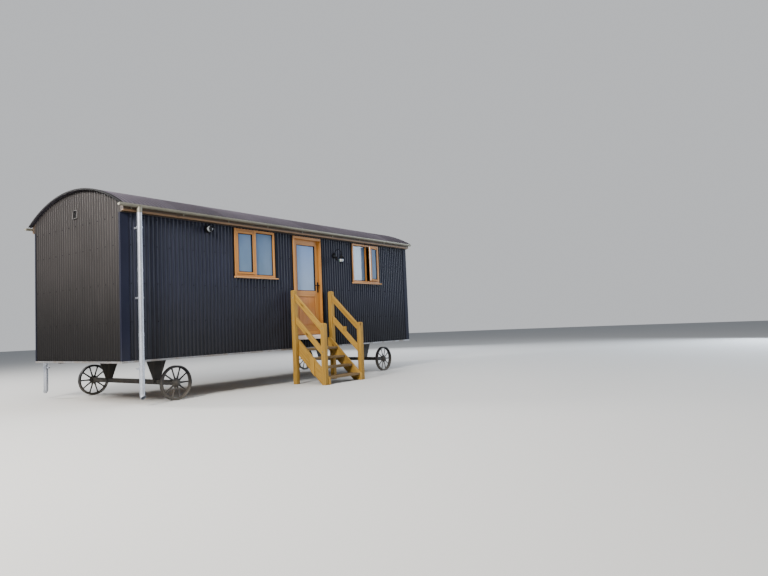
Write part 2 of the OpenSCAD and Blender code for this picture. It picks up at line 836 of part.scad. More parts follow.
module sash_pane() {
  translate([sash_bar, (sash_d - glass_t) / 2, sash_bar])
    cube([sash_w - 2 * sash_bar, glass_t, sash_h - 2 * sash_bar]);
}

// Places a closed sash in the left light of the first window
module closed_sash_place() {
  translate([left_x + window_xs[0] + window_bar + sash_gap, jamb_y, light_z + sash_gap]) children();
}

// Places the opened sash of the second window, turned out about its right edge
module open_sash_place() {
  translate([left_x + window_xs[1] + window_w - window_bar - sash_gap, jamb_y, light_z + sash_gap])
    rotate([0, 0, sash_open]) translate([-sash_w, 0, 0]) children();
}

module window_sashes() {
  color("#c4864c") {
    closed_sash_place() sash();
    open_sash_place() sash();
  }
}

// Panes: two in sashes, two fixed in the frames
module window_glass() {
  color("lightblue", 0.5) {
    closed_sash_place() sash_pane();
    open_sash_place() sash_pane();
    for (x = [window_xs[0] + 2 * window_bar + light_w, window_xs[1] + window_bar])
      translate([left_x + x, jamb_y + (window_d - glass_t) / 2, light_z]) cube([light_w, glass_t, light_h]);
  }
}

// Timber sills under the frames, with a sloping top in front
module window_sills() {
  slope = 8;
  color("#c4864c") for (x = window_xs)
    translate([left_x + x - sill_horn, 0, window_z]) rotate([90, 0, 90])
      linear_extrude(height = window_w + 2 * sill_horn) polygon([
        [front_y - sill_reach, -sill_t], [front_y - sill_reach, -slope],
        [jamb_y, 0], [front_y, 0], [front_y, -sill_t]
      ]);
}

// Square post, its top rounded off by a steep and a flat cone
module post(x, y, h) {
  corner_r = 0.75 * post_s;
  shoulder_r = 0.5 * post_s;
  crown_r = 0.25 * post_s;
  translate([x, y + post_s / 2, 0]) intersection() {
    translate([-post_s / 2, -post_s / 2, 0]) cube([post_s, post_s, h]);
    union() {
      cylinder(h = h - post_round, r = corner_r);
      translate([0, 0, h - post_round]) cylinder(h = post_round * 0.7, r1 = corner_r, r2 = shoulder_r);
      translate([0, 0, h - post_round * 0.3]) cylinder(h = post_round * 0.3, r1 = shoulder_r, r2 = crown_r);
    }
  }
}

module step_posts() {
  color("#caa25e") for (x = [left_post_x, right_post_x]) {
    post(x, front_y - post_front, nosing_z(front_rail_out) + rail_top_up + front_post_over);
    post(x, front_y - rear_rail_out, nosing_z(rear_rail_out) + rail_top_up + rear_post_over);
  }
}

// Stringer on the inner face of the posts, its top edge along the nosings
module stringer(x, front_cut) {
  rear = post_back;
  level_out = nosing_front - (stringer_top_z - tread_first_z) * tread_going / tread_rise;
  foot_out = nosing_front + (tread_first_z - stringer_drop) * tread_going / tread_rise;
  translate([x, front_y, 0]) rotate([90, 0, 90]) linear_extrude(height = stringer_t) polygon([
    [-rear, stringer_top_z], [-level_out, stringer_top_z], [-front_cut, nosing_z(front_cut)],
    [-front_cut, 0], [-foot_out, 0], [-rear, nosing_z(rear) - stringer_drop]
  ]);
}

// Left and right stringers, with an upright cleat on the outer face of the left one
module step_stringers() {
  cleat_t = 20;
  cleat_in = 452;
  cleat_out = 556;
  foot_front = post_front + stringer_toe;
  color("#caa25e") {
    stringer(stringer_left_x, foot_front);
    stringer(stringer_right_x, foot_front);
    translate([stringer_left_x - cleat_t, front_y, 0]) rotate([90, 0, 90])
      linear_extrude(height = cleat_t) polygon([
      [-cleat_in, nosing_z(cleat_in)], [-cleat_out, nosing_z(cleat_out)],
      [-cleat_out, nosing_z(cleat_out) - stringer_drop], [-cleat_in, nosing_z(cleat_in) - stringer_drop]
    ]);
  }
}

// Open treads between the stringers
module step_treads() {
  color("#b98d55") for (k = [0:tread_n - 1]) {
    out = nosing_front - k * tread_going;
    block([stringer_left_x + stringer_t, front_y - out, tread_first_z + k * tread_rise - tread_t],
      [stringer_right_x, front_y - out + tread_d, tread_first_z + k * tread_rise]);
  }
}

// Sloping rail between a front and a rear post
module rail(x, up) {
  drop = rail_h / cos(pitch);
  rear_z = nosing_z(rear_rail_out) + up;
  front_z = nosing_z(front_rail_out) + up;
  translate([x - rail_t / 2, front_y, 0]) rotate([90, 0, 90]) linear_extrude(height = rail_t) polygon([
    [-rear_rail_out, rear_z], [-front_rail_out, front_z],
    [-front_rail_out, front_z - drop], [-rear_rail_out, rear_z - drop]
  ]);
}

// Top and middle rails on both sides, and a small block on the right middle rail
module step_rails() {
  block_s = 62;
  block_in = 430;
  block_sink = 12;
  color("#caa25e") {
    for (x = [left_post_x, right_post_x]) {
      rail(x, rail_top_up);
      rail(x, rail_mid_up);
    }
    block_z = nosing_z(block_in) + rail_mid_up;
    block([right_post_x - rail_t / 2, front_y - block_in - block_s, block_z - block_s - block_sink],
      [right_post_x + rail_t / 2, front_y - block_in, block_z + block_s - 2 * block_sink]);
  }
}

// Swan-neck wall lantern: plate, arched arm, cap, caged base and a sensor below the plate
lantern_arm_z = lantern_z + lantern_arm_up;
lantern_glass_z = lantern_z - lantern_glass_drop;
lantern_y = front_y - lantern_reach;
module lantern() {
  plate_r = 50;
  plate_d = 14;
  boss_r = 14;
  boss_d = 36;
  tube_r = 8;
  arc_in = boss_d - boss_r;
  arc_r = (lantern_reach - arc_in) / 2;
  cap_h = 48;
  cap_r = 62;
  cap_r_top = 20;
  base_t = 12;
  cage_r = 4;
  cage_n = 4;
  cage_at = lantern_glass_r + cage_r + skin_gap;
  sensor_r = 20;
  sensor_h = 90;
  sensor_neck_r = 9;
  sensor_out = 62;
  sensor_drop = 36;
  cap_z = lantern_glass_z + lantern_glass_h;
  x = left_x + lantern_x;
  color("#15161a") {
    bar_y([x, front_y - plate_d, lantern_z], plate_d, plate_r);
    bar_y([x, front_y - boss_d, lantern_arm_z], boss_d - plate_d / 2, boss_r);
    translate([x, front_y - arc_in - arc_r, lantern_arm_z]) rotate([90, 0, 90])
      rotate_extrude(angle = 180) translate([arc_r, 0]) circle(r = tube_r);
    translate([x, lantern_y, cap_z]) {
      cylinder(h = cap_h, r1 = cap_r, r2 = cap_r_top);
      cylinder(h = lantern_arm_z - cap_z, r = boss_r);
    }
    for (k = [0:cage_n - 1]) translate([x, lantern_y, lantern_glass_z - base_t / 2])
      rotate([0, 0, (k + 0.5) * 360 / cage_n]) translate([cage_at, 0, 0])
        cylinder(h = lantern_glass_h + base_t, r = cage_r);
    translate([x, lantern_y, lantern_glass_z - base_t]) cylinder(h = base_t, r = cage_at + 2 * cage_r);
    bar_y([x, front_y - sensor_out, lantern_z - sensor_drop], sensor_out - plate_d / 2, sensor_neck_r);
    translate([x, front_y - sensor_out, lantern_z - sensor_drop + sensor_neck_r * 1.5 - sensor_h])
      cylinder(h = sensor_h, r = sensor_r);
  }
}

module lantern_glass() {
  color("white") translate([left_x + lantern_x, lantern_y, lantern_glass_z])
    cylinder(h = lantern_glass_h, r = lantern_glass_r);
}

// Round bulkhead lamp under the fascia: a flat base and a lens of two cones
module eaves_lamp() {
  base_d = 30;
  lens_r = eaves_lamp_r - 20;
  lens_h = 28;
  crown_r = lens_r * 0.75;
  crown_at = lens_h * 0.65;
  color("#2a2a2e") translate([left_x + eaves_lamp_x, front_y, eaves_lamp_z]) rotate([90, 0, 0]) {
    cylinder(h = base_d, r = eaves_lamp_r);
    translate([0, 0, base_d]) cylinder(h = crown_at, r1 = lens_r, r2 = crown_r);
    translate([0, 0, base_d + crown_at]) cylinder(h = lens_h - crown_at, r1 = crown_r, r2 = crown_r / 2);
  }
}

// Square vent on the left end, with sloping louvres in a rim
module end_vent() {
  rim = 12;
  depth = 20;
  louvre_n = 5;
  louvre_t = 4;
  back_t = 4;
  fall = 14;
  y0 = front_y + vent_y - vent_s / 2;
  z0 = vent_z - vent_s / 2;
  inner = vent_s - 2 * rim;
  color("#101114") {
    difference() {
      block([left_x - depth, y0, z0], [left_x, y0 + vent_s, z0 + vent_s]);
      block([left_x - depth - cut, y0 + rim, z0 + rim],
        [left_x - back_t, y0 + vent_s - rim, z0 + vent_s - rim]);
    }
    for (k = [0:louvre_n - 1])
      translate([left_x - depth, y0 + vent_s - rim / 2, z0 + rim + k * inner / louvre_n + louvre_t])
        rotate([90, 0, 0]) linear_extrude(height = inner + rim) polygon([
          [0, 0], [depth - back_t / 2, fall], [depth - back_t / 2, fall + louvre_t], [0, louvre_t]
        ]);
  }
}

chassis_rails();
cross_bars();
axles();
wheels();
floor();
front_wall_left();
front_wall_right();
front_wall_over_door();
front_wall_under_door();
back_wall();
left_end_wall();
right_end_wall();
front_cladding();
back_cladding();
left_end_cladding();
right_end_cladding();
corner_trims();
drip_trims();
reveal_trims();
roof_deck();
roof_sheets();
verge_trims();
fascia_boards();
gutters();
downpipes();
door_frame();
door_threshold();
door_leaf();
door_glass();
door_panel();
door_plates();
door_lever();
window_frames();
window_sashes();
window_glass();
window_sills();
step_posts();
step_stringers();
step_treads();
step_rails();
lantern();
lantern_glass();
eaves_lamp();
end_vent();
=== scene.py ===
"""Looks of the shepherds hut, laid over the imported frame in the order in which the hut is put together."""
import math

import bpy
import numpy as np
from mathutils import Matrix, Vector


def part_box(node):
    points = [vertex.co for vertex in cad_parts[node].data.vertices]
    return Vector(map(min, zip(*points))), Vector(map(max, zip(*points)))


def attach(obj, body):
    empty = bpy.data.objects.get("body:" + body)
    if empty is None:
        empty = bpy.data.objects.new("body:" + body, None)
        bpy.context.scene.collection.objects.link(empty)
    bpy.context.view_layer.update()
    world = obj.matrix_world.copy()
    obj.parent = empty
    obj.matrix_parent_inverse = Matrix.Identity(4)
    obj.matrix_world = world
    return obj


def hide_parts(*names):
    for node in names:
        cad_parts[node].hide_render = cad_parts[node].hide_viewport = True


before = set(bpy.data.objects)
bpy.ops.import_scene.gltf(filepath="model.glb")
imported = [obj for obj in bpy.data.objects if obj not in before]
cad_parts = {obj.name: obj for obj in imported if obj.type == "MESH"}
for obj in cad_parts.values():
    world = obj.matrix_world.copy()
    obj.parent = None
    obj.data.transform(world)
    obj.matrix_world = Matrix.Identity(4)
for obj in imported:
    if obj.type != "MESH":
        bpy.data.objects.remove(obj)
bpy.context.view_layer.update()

# Chassis rails, cross bars and axles
# Rolled steel channels and square bar, welded up, primed and brushed with black chassis
# paint. The bars stay the frame's own solids; only their paint and road dust are added.


def feed(made, inputs):
    """Gives a node's inputs their values or links. A colour of three numbers gets an alpha of one."""
    for key, value in inputs.items():
        socket = made.inputs[key]
        if isinstance(value, bpy.types.NodeSocket):
            made.id_data.links.new(value, socket)
        else:
            socket.default_value = (*value, 1) if socket.type == "RGBA" else value


def node(tree, kind, inputs=None, **settings):
    """Adds a shader node with its settings and feeds its inputs."""
    made = tree.nodes.new("ShaderNode" + kind)
    for key, value in settings.items():
        setattr(made, key, value)
    feed(made, inputs or {})
    return made


def tree_of(*values):
    """The node tree of the first of the values that is a node's output."""
    return next(value.id_data for value in values if isinstance(value, bpy.types.NodeSocket))


def calc(operation, *values):
    """One step of arithmetic on up to three values."""
    return node(tree_of(*values), "Math", dict(enumerate(values)), operation=operation).outputs[0]


def times(value, factor, plus=0.0):
    """The value times a factor, plus a third value."""
    return calc("MULTIPLY_ADD", value, factor, plus)


def between(value, low, high, at_low=0.0, at_high=1.0):
    """Smooth step: at_low where value is below low, at_high above high, an S-curve between."""
    ends = {"Value": value, "From Min": low, "From Max": high, "To Min": at_low, "To Max": at_high}
    return node(value.id_data, "MapRange", ends, interpolation_type="SMOOTHSTEP").outputs[0]


def mixed(share, first, second, way="MIX"):
    """Colour first turned into colour second by share, in one of the mixing ways."""
    inputs = {0: share, 6: first, 7: second}
    return node(tree_of(share, first, second), "Mix", inputs, data_type="RGBA", blend_type=way).outputs[2]


def grey(level):
    """A grey of this level."""
    return node(level.id_data, "CombineColor", {0: level, 1: level, 2: level}).outputs[0]


def scaled(vector, scale, move=(0.0, 0.0, 0.0)):
    """The vector times a scale on each axis, plus a shift."""
    return node(vector.id_data, "Mapping", {"Vector": vector, "Location": move, "Scale": scale}).outputs[0]


def part_of(vector, axis):
    """One of the vector's three numbers."""
    return node(vector.id_data, "SeparateXYZ", {0: vector}).outputs[axis]


def place_in(tree):
    """Place on the object, in metres."""
    return node(tree, "TexCoord").outputs["Object"]


def noise(vector, size, detail=3.0, rough=0.55):
    """Fractal noise whose blobs are about size metres across."""
    inputs = {"Vector": vector, "Scale": 1.0 / size, "Detail": detail, "Roughness": rough}
    return node(vector.id_data, "TexNoise", inputs).outputs[0]


def new_group(name, inputs, *outputs):
    """A shader node group with named inputs, where three numbers are a colour, and named outputs."""
    tree = bpy.data.node_groups.new(name, "ShaderNodeTree")
    for title, value in inputs.items():
        kind = "Color" if isinstance(value, tuple) else "Float"
        socket = tree.interface.new_socket(name=title, in_out="INPUT", socket_type="NodeSocket" + kind)
        socket.default_value = (*value, 1) if kind == "Color" else value
    for title in outputs:
        kind = "Color" if title == "Colour" else "Float"
        tree.interface.new_socket(name=title, in_out="OUTPUT", socket_type="NodeSocket" + kind)
    return tree, tree.nodes.new("NodeGroupInput").outputs, tree.nodes.new("NodeGroupOutput")


def weathering_group():
    """Paint out of doors: cloudy tone, runs of dirt down the face, and a tone near the ground that is
    splashed dust on most materials and painted shade on the wall coats.

    Runs are noise stretched twenty times along Z. The ground tone is a smooth step of height, ragged by
    noise.
    """
    tree, given, put = new_group("weathering", {
        "Colour": (0.1, 0.1, 0.1), "Soil and Shade Colour": (0.3, 0.27, 0.22), "Cloud": 0.15, "Runs": 0.2, "Soil and Shade": 0.2,
        "Soil and Shade Foot": 0.0, "Soil and Shade Height": 0.5, "Roughness": 0.4}, "Colour", "Roughness", "Height")
    place = place_in(tree)
    cloud = noise(place, 0.9, 4.0)
    runs = between(noise(scaled(place, (22.0, 22.0, 1.1)), 1.0), 0.48, 0.78)
    ragged = times(noise(scaled(place, (6, 6, 2)), 1.0), 0.5, -0.25)
    low = calc("SUBTRACT", part_of(place, 2), given["Soil and Shade Foot"])
    # Towards the foot the colour moves to a second colour: dust on most materials, painted shade on the wall
    # coats.
    near_foot = between(calc("DIVIDE", calc("ADD", low, ragged), given["Soil and Shade Height"]), 0.0, 1.0, 1.0, 0.0)
    speck = between(noise(place, 0.006, 2.0), 0.6, 0.72)
    soiling_and_shade = times(near_foot, given["Soil and Shade"], times(runs, given["Runs"]))
    soiling_and_shade = calc("MINIMUM", times(speck, times(soiling_and_shade, 0.5), soiling_and_shade), 1.0)
    tone = times(calc("SUBTRACT", cloud, 0.5), given["Cloud"], 0.5)
    lit = mixed(1.0, given["Colour"], grey(tone), "SOFT_LIGHT")
    feed(put, {"Colour": mixed(soiling_and_shade, lit, given["Soil and Shade Colour"]),
               "Roughness": times(cloud, 0.12, times(soiling_and_shade, 0.35, given["Roughness"])),
               "Height": calc("ADD", noise(place, 0.004, 2.0), times(soiling_and_shade, 0.6))})
    return tree


weathering = weathering_group()


def new_material(name):
    """An empty material, with its shader."""
    material = bpy.data.materials.new(name)
    material.use_nodes = True
    return material, material.node_tree.nodes["Principled BSDF"]


def emboss(shader, height, strength, depth):
    """Relief from a height between 0 and 1 that stands for a depth in metres."""
    relief = {"Height": height, "Strength": strength, "Distance": depth}
    feed(shader, {"Normal": node(shader.id_data, "Bump", relief).outputs[0]})


def surfaced(name, group, values, strength, depth, constants):
    """A material whose colour, roughness and relief come from a group, with constants on its shader."""
    material, shader = new_material(name)
    made = node(material.node_tree, "Group", node_tree=group)
    feed(made, values)
    feed(shader, {"Base Color": made.outputs["Colour"], "Roughness": made.outputs["Roughness"], **constants})
    emboss(shader, made.outputs["Height"], strength, depth)
    return material


def painted(name, colour, roughness=0.4, cloud=0.3, runs=0.0, dust=0.0, foot=0.0, rise=0.6,
            dust_colour=(0.24, 0.21, 0.17), metallic=0.0, bump=0.0006, gloss=0.5):
    """A material of paint or metal, clean or out of doors for years, built on the weathering group."""
    values = {"Colour": colour, "Soil and Shade Colour": dust_colour, "Cloud": cloud, "Runs": runs, "Soil and Shade": dust,
              "Soil and Shade Foot": foot, "Soil and Shade Height": rise, "Roughness": roughness}
    return surfaced(name, weathering, values, 0.6, bump, {"Metallic": metallic, "Specular IOR Level": gloss})


def refinish(material, *names):
    """Gives the frame's own solids this material."""
    for name in names:
        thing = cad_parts[name]
        if thing.material_slots:
            thing.material_slots[0].material = material
        else:
            thing.data.materials.append(material)


chassis_paint = painted("chassis_paint", (0.014, 0.015, 0.017), roughness=0.5, cloud=0.8, runs=0.15,
                        dust=0.22, rise=0.9, gloss=0.25)
refinish(chassis_paint, "chassis_rails", "cross_bars", "axles")

# Wheels
# Four cast iron wheels: a tread ring with a rib inside, ten tapering oval spokes and a hub
# with a grease cap held by studs. They turn on the axle ends and stand on the ground.


class Stock:
    """Parts gathered into one mesh. A part is points, four-sided faces and end faces.

    A part's faces are turned outwards by the sign of its volume, the sum over the faces of a
    corner dotted with the cross product of the next two. Grain runs with the part's own wood.
    """

    def __init__(self, *parts):
        self.points, self.grain, self.tone, self.faces, self.count = [], [], [], [], 0
        for part in parts:
            self.add(part)

    def add(self, part, grain=None, tone=0.5, place=None):
        """Adds a part, moved to its place, with its grain and its tone."""
        points, quads, ends = part
        points = np.asarray(points, float).reshape(-1, 3)
        quads = np.asarray(quads, int).reshape(-1, 4)
        fans = [np.stack([np.full(len(e) - 2, e[0]), e[1:-1], e[2:]], 1) for e in map(np.asarray, ends)]
        flat = np.concatenate([quads[:, [0, 1, 2]], quads[:, [0, 2, 3]]] + fans)
        if place is not None:
            points = points @ np.array(place.to_3x3()).T + np.array(place.translation)
        centred = points - points.mean(0)
        a, b, c = (centred[flat[:, k]] for k in range(3))
        inside_out = np.einsum("ij,ij->", a, np.cross(b, c)) < 0
        turn = slice(None, None, -1 if inside_out else 1)
        self.faces += (quads[:, turn] + self.count).tolist()
        self.faces += [(np.asarray(e)[turn] + self.count).tolist() for e in ends]
        self.points.append(points)
        self.grain.append(points if grain is None else grain)
        self.tone.append(np.broadcast_to(tone, len(points)))
        self.count += len(points)

    def make(self, name, material, slot, body="root", replaces=(), crease=35.0):
        """Writes the mesh, smooth but for edges sharper than the crease angle, and rides it on its body."""
        mesh = bpy.data.meshes.new(name)
        mesh.from_pydata(np.concatenate(self.points).tolist(), [], self.faces)
        mesh.polygons.foreach_set("use_smooth", np.ones(len(mesh.polygons), bool))
        mesh.set_sharp_from_angle(angle=math.radians(crease))
        for title, kind, key, values in (("grain", "FLOAT_VECTOR", "vector", self.grain),
                                         ("tone", "FLOAT", "value", self.tone)):
            values = np.concatenate(values).astype(np.float32).ravel()
            mesh.attributes.new(title, kind, "POINT").data.foreach_set(key, values)
        mesh.materials.append(material)
        piece = bpy.data.objects.new(name, mesh)
        bpy.context.scene.collection.objects.link(piece)
        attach(piece, body)
        if replaces:
            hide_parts(*replaces)


def loft(rings, round_again=False):
    """Skin over rings of equal length: point j of a ring joins j + 1 and the next ring.

    The end rings close with one face each, or, round again, the last ring joins the first.
    """
    rings = np.asarray(rings, float)
    n, m = rings.shape[:2]
    i = np.arange(n if round_again else n - 1)[:, None]
    j = np.arange(m)[None, :]
    here, there, k = i * m, (i + 1) % n * m, (j + 1) % m
    quads = np.stack([here + j, here + k, there + k, there + j], -1).reshape(-1, 4)
    ends = [] if round_again else [np.arange(m)[::-1], (n - 1) * m + np.arange(m)]
    return rings.reshape(-1, 3), quads, ends


def turned(profile, centre, axis, count=32, round_again=False):
    """A turned shape: each (radius, height) of the profile makes a circle about the axis."""
    profile = np.asarray(profile, float)
    axis = np.array(Vector(axis).normalized())
    across = np.array(Vector(axis).orthogonal().normalized())
    other = np.cross(axis, across)
    angle = np.arange(count) * 2 * np.pi / count
    ring = np.cos(angle)[:, None] * across + np.sin(angle)[:, None] * other
    rings = profile[:, 0, None, None] * ring + profile[:, 1, None, None] * axis + np.array(centre)
    return loft(rings, round_again)


def rounded(width, depth, radius, steps=4):
    """A rectangle about the origin with its corners rounded by quarter circles."""
    angle = (np.arange(steps + 1) / steps)[None, :] * np.pi / 2 + np.arange(4)[:, None] * np.pi / 2
    corner = np.array([[1, 1], [-1, 1], [-1, -1], [1, -1]]) * [width / 2 - radius, depth / 2 - radius]
    return (corner[:, None, :] + radius * np.stack([np.cos(angle), np.sin(angle)], -1)).reshape(-1, 2)


hut_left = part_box("left_end_cladding")[0].x
hut_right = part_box("right_end_cladding")[1].x
front_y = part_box("front_cladding")[0].y
back_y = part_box("back_cladding")[1].y
wheel_r = 0.285
wheel_w = 0.080
wheel_in = 0.060
axle_from_end = 1.000
spoke_n = 10
rim_edge = 0.006
tread_in_r = wheel_r - 0.022
rib_in_r = wheel_r - 0.040
hub_profile = [(0.034, 0.004), (0.054, 0.002), (0.060, -0.006), (0.062, -0.030), (0.066, -0.036),
               (0.066, -0.048), (0.062, -0.054), (0.060, -0.076), (0.054, -0.082), (0.034, -0.082)]
cap_profile = [(0.040, 0.002), (0.041, 0.010), (0.036, 0.020), (0.024, 0.026), (0.008, 0.029)]
stud_ring_r = 0.048
stud_profile = [(0.0075, 0.001), (0.0075, 0.007), (0.005, 0.009)]
spoke_from = 0.050
spoke_to = wheel_r - 0.030
spoke_hub_w, spoke_rim_w = 0.017, 0.011
spoke_hub_d, spoke_rim_d = 0.011, 0.008
spoke_flare = 0.55
spoke_stations = 7
spoke_sides = 14


def cast_wheel(stock, x, y, outward):
    """One wheel with its face at y, which looks along outward, -1 to the front or 1 to the back."""
    centre = np.array([x, y, wheel_r])
    axis = np.array([0.0, outward, 0.0])
    rim = [(wheel_r - rim_edge, 0), (wheel_r, -rim_edge), (wheel_r, rim_edge - wheel_w),
           (wheel_r - rim_edge, -wheel_w), (tread_in_r, -wheel_w), (tread_in_r - 0.004, -wheel_w * 0.62),
           (rib_in_r, -wheel_w * 0.58), (rib_in_r, -wheel_w * 0.42), (tread_in_r - 0.004, -wheel_w * 0.38),
           (tread_in_r, 0)]
    stock.add(turned(rim, centre, axis, 96, True))
    stock.add(turned(hub_profile, centre, axis, 48))
    stock.add(turned(cap_profile, centre, axis, 32))
    along = np.linspace(spoke_from, spoke_to, spoke_stations)
    flare = 1 + spoke_flare * ((along - along.mean()) / (along.max() - along.mean())) ** 4
    wide = np.linspace(spoke_hub_w, spoke_rim_w, spoke_stations) * flare
    deep = np.linspace(spoke_hub_d, spoke_rim_d, spoke_stations) * flare
    ring = np.arange(spoke_sides) * 2 * np.pi / spoke_sides
    for k in range(spoke_n):
        turn = k * 2 * np.pi / spoke_n
        out = np.array([math.cos(turn), 0, math.sin(turn)])
        side = np.array([-math.sin(turn), 0, math.cos(turn)])
        stock.add(loft(centre - axis * wheel_w / 2 + along[:, None, None] * out
                       + (wide[:, None] * np.cos(ring))[..., None] * side
                       + (deep[:, None] * np.sin(ring))[..., None] * axis))
        if k % 2 == 0:
            stock.add(turned(stud_profile, centre + out * stud_ring_r, axis, 6))


wheel_iron = painted("wheel_iron", (0.012, 0.012, 0.014), roughness=0.45, cloud=0.8, runs=0.15, dust=0.28,
                     rise=0.45, gloss=0.25)
wheels = Stock()
for wheel_x in (hut_left + axle_from_end, hut_right - axle_from_end):
    cast_wheel(wheels, wheel_x, front_y + wheel_in, -1)
    cast_wheel(wheels, wheel_x, back_y - wheel_in, 1)
wheels.make("cast_wheels", wheel_iron, "wheel_iron", replaces=["wheels"])

# Floor
# Softwood joists across the chassis rails, boarded over with square-edged oak boards that
# are laid lengthways and nailed, with their butt joints broken from row to row.


def block(low, high, along=0, bevel=0.003):
    """A sawn board between two opposite corners, its long axis along, every edge planed by the bevel.

    Rings of eight corners stand at four stations; the end rings are drawn in by the bevel.
    """
    low, high = np.sort(np.array([low, high], float), 0)
    u, v = [a for a in range(3) if a != along]
    size = high - low
    c = min(bevel, 0.3 * size.min())
    drawn = np.array([c, 0, 0, c])[:, None]
    at_u = np.array([c, size[u] - c, size[u], size[u], size[u] - c, c, 0, 0])
    at_v = np.array([0, 0, c, size[v] - c, size[v], size[v], size[v] - c, c])
    rings = np.empty((4, 8, 3))
    rings[..., along] = np.array([low[along], low[along] + c, high[along] - c, high[along]])[:, None]
    rings[..., u] = low[u] + np.clip(at_u, drawn, size[u] - drawn)
    rings[..., v] = low[v] + np.clip(at_v, drawn, size[v] - drawn)
    return loft(rings)


def grain_of(local, along, seed, pith=0.06):
    """Wood coordinates of points about a board's middle: along it, and across and through from the heart.

    The shift puts the board at a drawn place in the tree, whose heart lies up to pith away.
    """
    draw = np.random.default_rng(seed)
    shift = [draw.uniform(0, 40), draw.uniform(-pith, pith),
             draw.choice([-1, 1]) * draw.uniform(0.3, 1) * pith]
    return local[:, [along] + [a for a in range(3) if a != along]] + shift


class Joinery(Stock):
    """Stock of boards, each with its own place in the tree and its own tone."""

    def __init__(self, seed, spread=0.5):
        super().__init__()
        self.draw = np.random.default_rng(seed)
        self.spread = spread

    def next_seed(self):
        """The seed of the next board's place in the tree."""
        return int(self.draw.integers(1 << 30))

    def shaped(self, part, along, place=None):
        """Adds a part whose grain runs along an axis."""
        grain = grain_of(part[0] - part[0].mean(0), along, self.next_seed())
        self.add(part, grain, 0.5 + self.spread * self.draw.uniform(-0.5, 0.5), place)

    def board(self, low, high, along=0, bevel=0.003, place=None):
        """Adds a sawn board."""
        self.shaped(block(low, high, along, bevel), along, place)


def timber_group():
    """Sawn wood from its own coordinates: growth rings, darker streaks, fibres, pores and knots.

    The rings are circles about the heart, whose line wanders with slow noise, so that a flat-sawn
    face shows arches and an edge shows lines. Knots are cells of a Voronoi pattern that is
    stretched along the board.
    """
    tree, given, put = new_group("timber", {
        "Light": (0.6, 0.4, 0.2), "Dark": (0.3, 0.16, 0.07), "Ring": 0.005, "Contrast": 0.5, "Knots": 0.0,
        "Tone": 1.0, "Roughness": 0.5}, "Colour", "Roughness", "Height")
    place = node(tree, "Attribute", attribute_name="grain").outputs["Vector"]
    tone = node(tree, "Attribute", attribute_name="tone").outputs["Fac"]
    slow = node(tree, "TexNoise", {"Vector": scaled(place, (0.8, 6.0, 6.0)), "Scale": 1.0, "Detail": 2.0})
    wander = scaled(slow.outputs["Color"], (0.0, 0.055, 0.055), (0.0, -0.0275, -0.0275))
    bent = node(tree, "VectorMath", {0: place, 1: wander}, operation="ADD").outputs[0]
    across, through = part_of(bent, 1), part_of(bent, 2)
    radius = calc("SQRT", times(across, across, times(through, through)))
    late = calc("POWER", calc("FRACT", calc("DIVIDE", radius, given["Ring"])), 2.5)
    streak = noise(scaled(place, (1.1, 26.0, 26.0)), 1.0, 4.0, 0.6)
    fibre = noise(scaled(place, (9.0, 420.0, 420.0)), 1.0, 2.0)
    pores = between(noise(scaled(place, (25.0, 900.0, 900.0)), 1.0, 1.0), 0.62, 0.75)
    cells = node(tree, "TexVoronoi", {"Vector": scaled(bent, (2.7, 7.5, 7.5)), "Scale": 1.0,
                                      "Randomness": 1.0}).outputs["Distance"]
    knot = times(between(cells, 0.07, 0.13, 1.0, 0.0), given["Knots"])
    halo = times(between(cells, 0.08, 0.30, 1.0, 0.0), given["Knots"])
    dark = times(fibre, 0.22, times(between(streak, 0.35, 0.75), 0.55, times(late, 0.40)))
    dark = times(calc("SUBTRACT", dark, 0.15), given["Contrast"])
    dark = times(halo, 0.35, times(calc("SUBTRACT", tone, 0.5), given["Tone"], dark))
    colour = mixed(node(tree, "Clamp", {0: dark}).outputs[0], given["Light"], given["Dark"])
    knot_brown = mixed(1.0, given["Dark"], (0.35, 0.26, 0.2), "MULTIPLY")
    feed(put, {"Colour": mixed(knot, colour, knot_brown),
               "Roughness": times(late, -0.06, times(fibre, 0.18, given["Roughness"])),
               "Height": times(pores, -0.8, times(late, 0.5, fibre))})
    return tree


timber = timber_group()


def wood(name, light, dark, ring=0.005, contrast=0.6, knots=0.0, tone=0.5, roughness=0.5, bump=0.0008,
         coat=0.0):
    """A material of sawn or stained wood, built on the timber group."""
    values = {"Light": light, "Dark": dark, "Ring": ring, "Contrast": contrast, "Knots": knots, "Tone": tone,
              "Roughness": roughness}
    finish = {"Specular IOR Level": 0.22, "Coat Weight": coat, "Coat Roughness": 0.25}
    return surfaced(name, timber, values, 0.7, bump, finish)


floor_low, floor_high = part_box("floor")
floor_board_w = 0.140
floor_board_t = 0.020
floor_board_l = 2.700
floor_end_l = 0.900
floor_stagger = 1.37
floor_stagger_span = 2.4
board_gap = 0.0012
butt_gap = 0.0008
joist_w = 0.047
joist_pitch = 0.400
floor_wood = wood("floor_wood", (0.42, 0.27, 0.14), (0.20, 0.11, 0.05), knots=0.5, roughness=0.42, coat=0.15)
floor = Joinery(seed=11)
joist_top = floor_high.z - floor_board_t
for row in range(math.ceil((floor_high.y - floor_low.y) / floor_board_w)):
    y0 = floor_low.y + row * floor_board_w
    y1 = min(y0 + floor_board_w - board_gap, floor_high.y)
    first_cut = floor_low.x + floor_end_l + row * floor_stagger % floor_stagger_span
    cuts = [floor_low.x, *np.clip([first_cut, first_cut + floor_board_l], floor_low.x, floor_high.x),
            floor_high.x]
    for x0, x1 in zip(cuts[:-1], cuts[1:]):
        if x1 - x0 > 0.1:
            floor.board((x0, y0, joist_top), (x1 - butt_gap, y1, floor_high.z), 0, 0.0012)
for x0 in np.arange(floor_low.x, floor_high.x - joist_w, joist_pitch):
    floor.board((x0, floor_low.y, floor_low.z), (x0 + joist_w, floor_high.y, joist_top), 1)
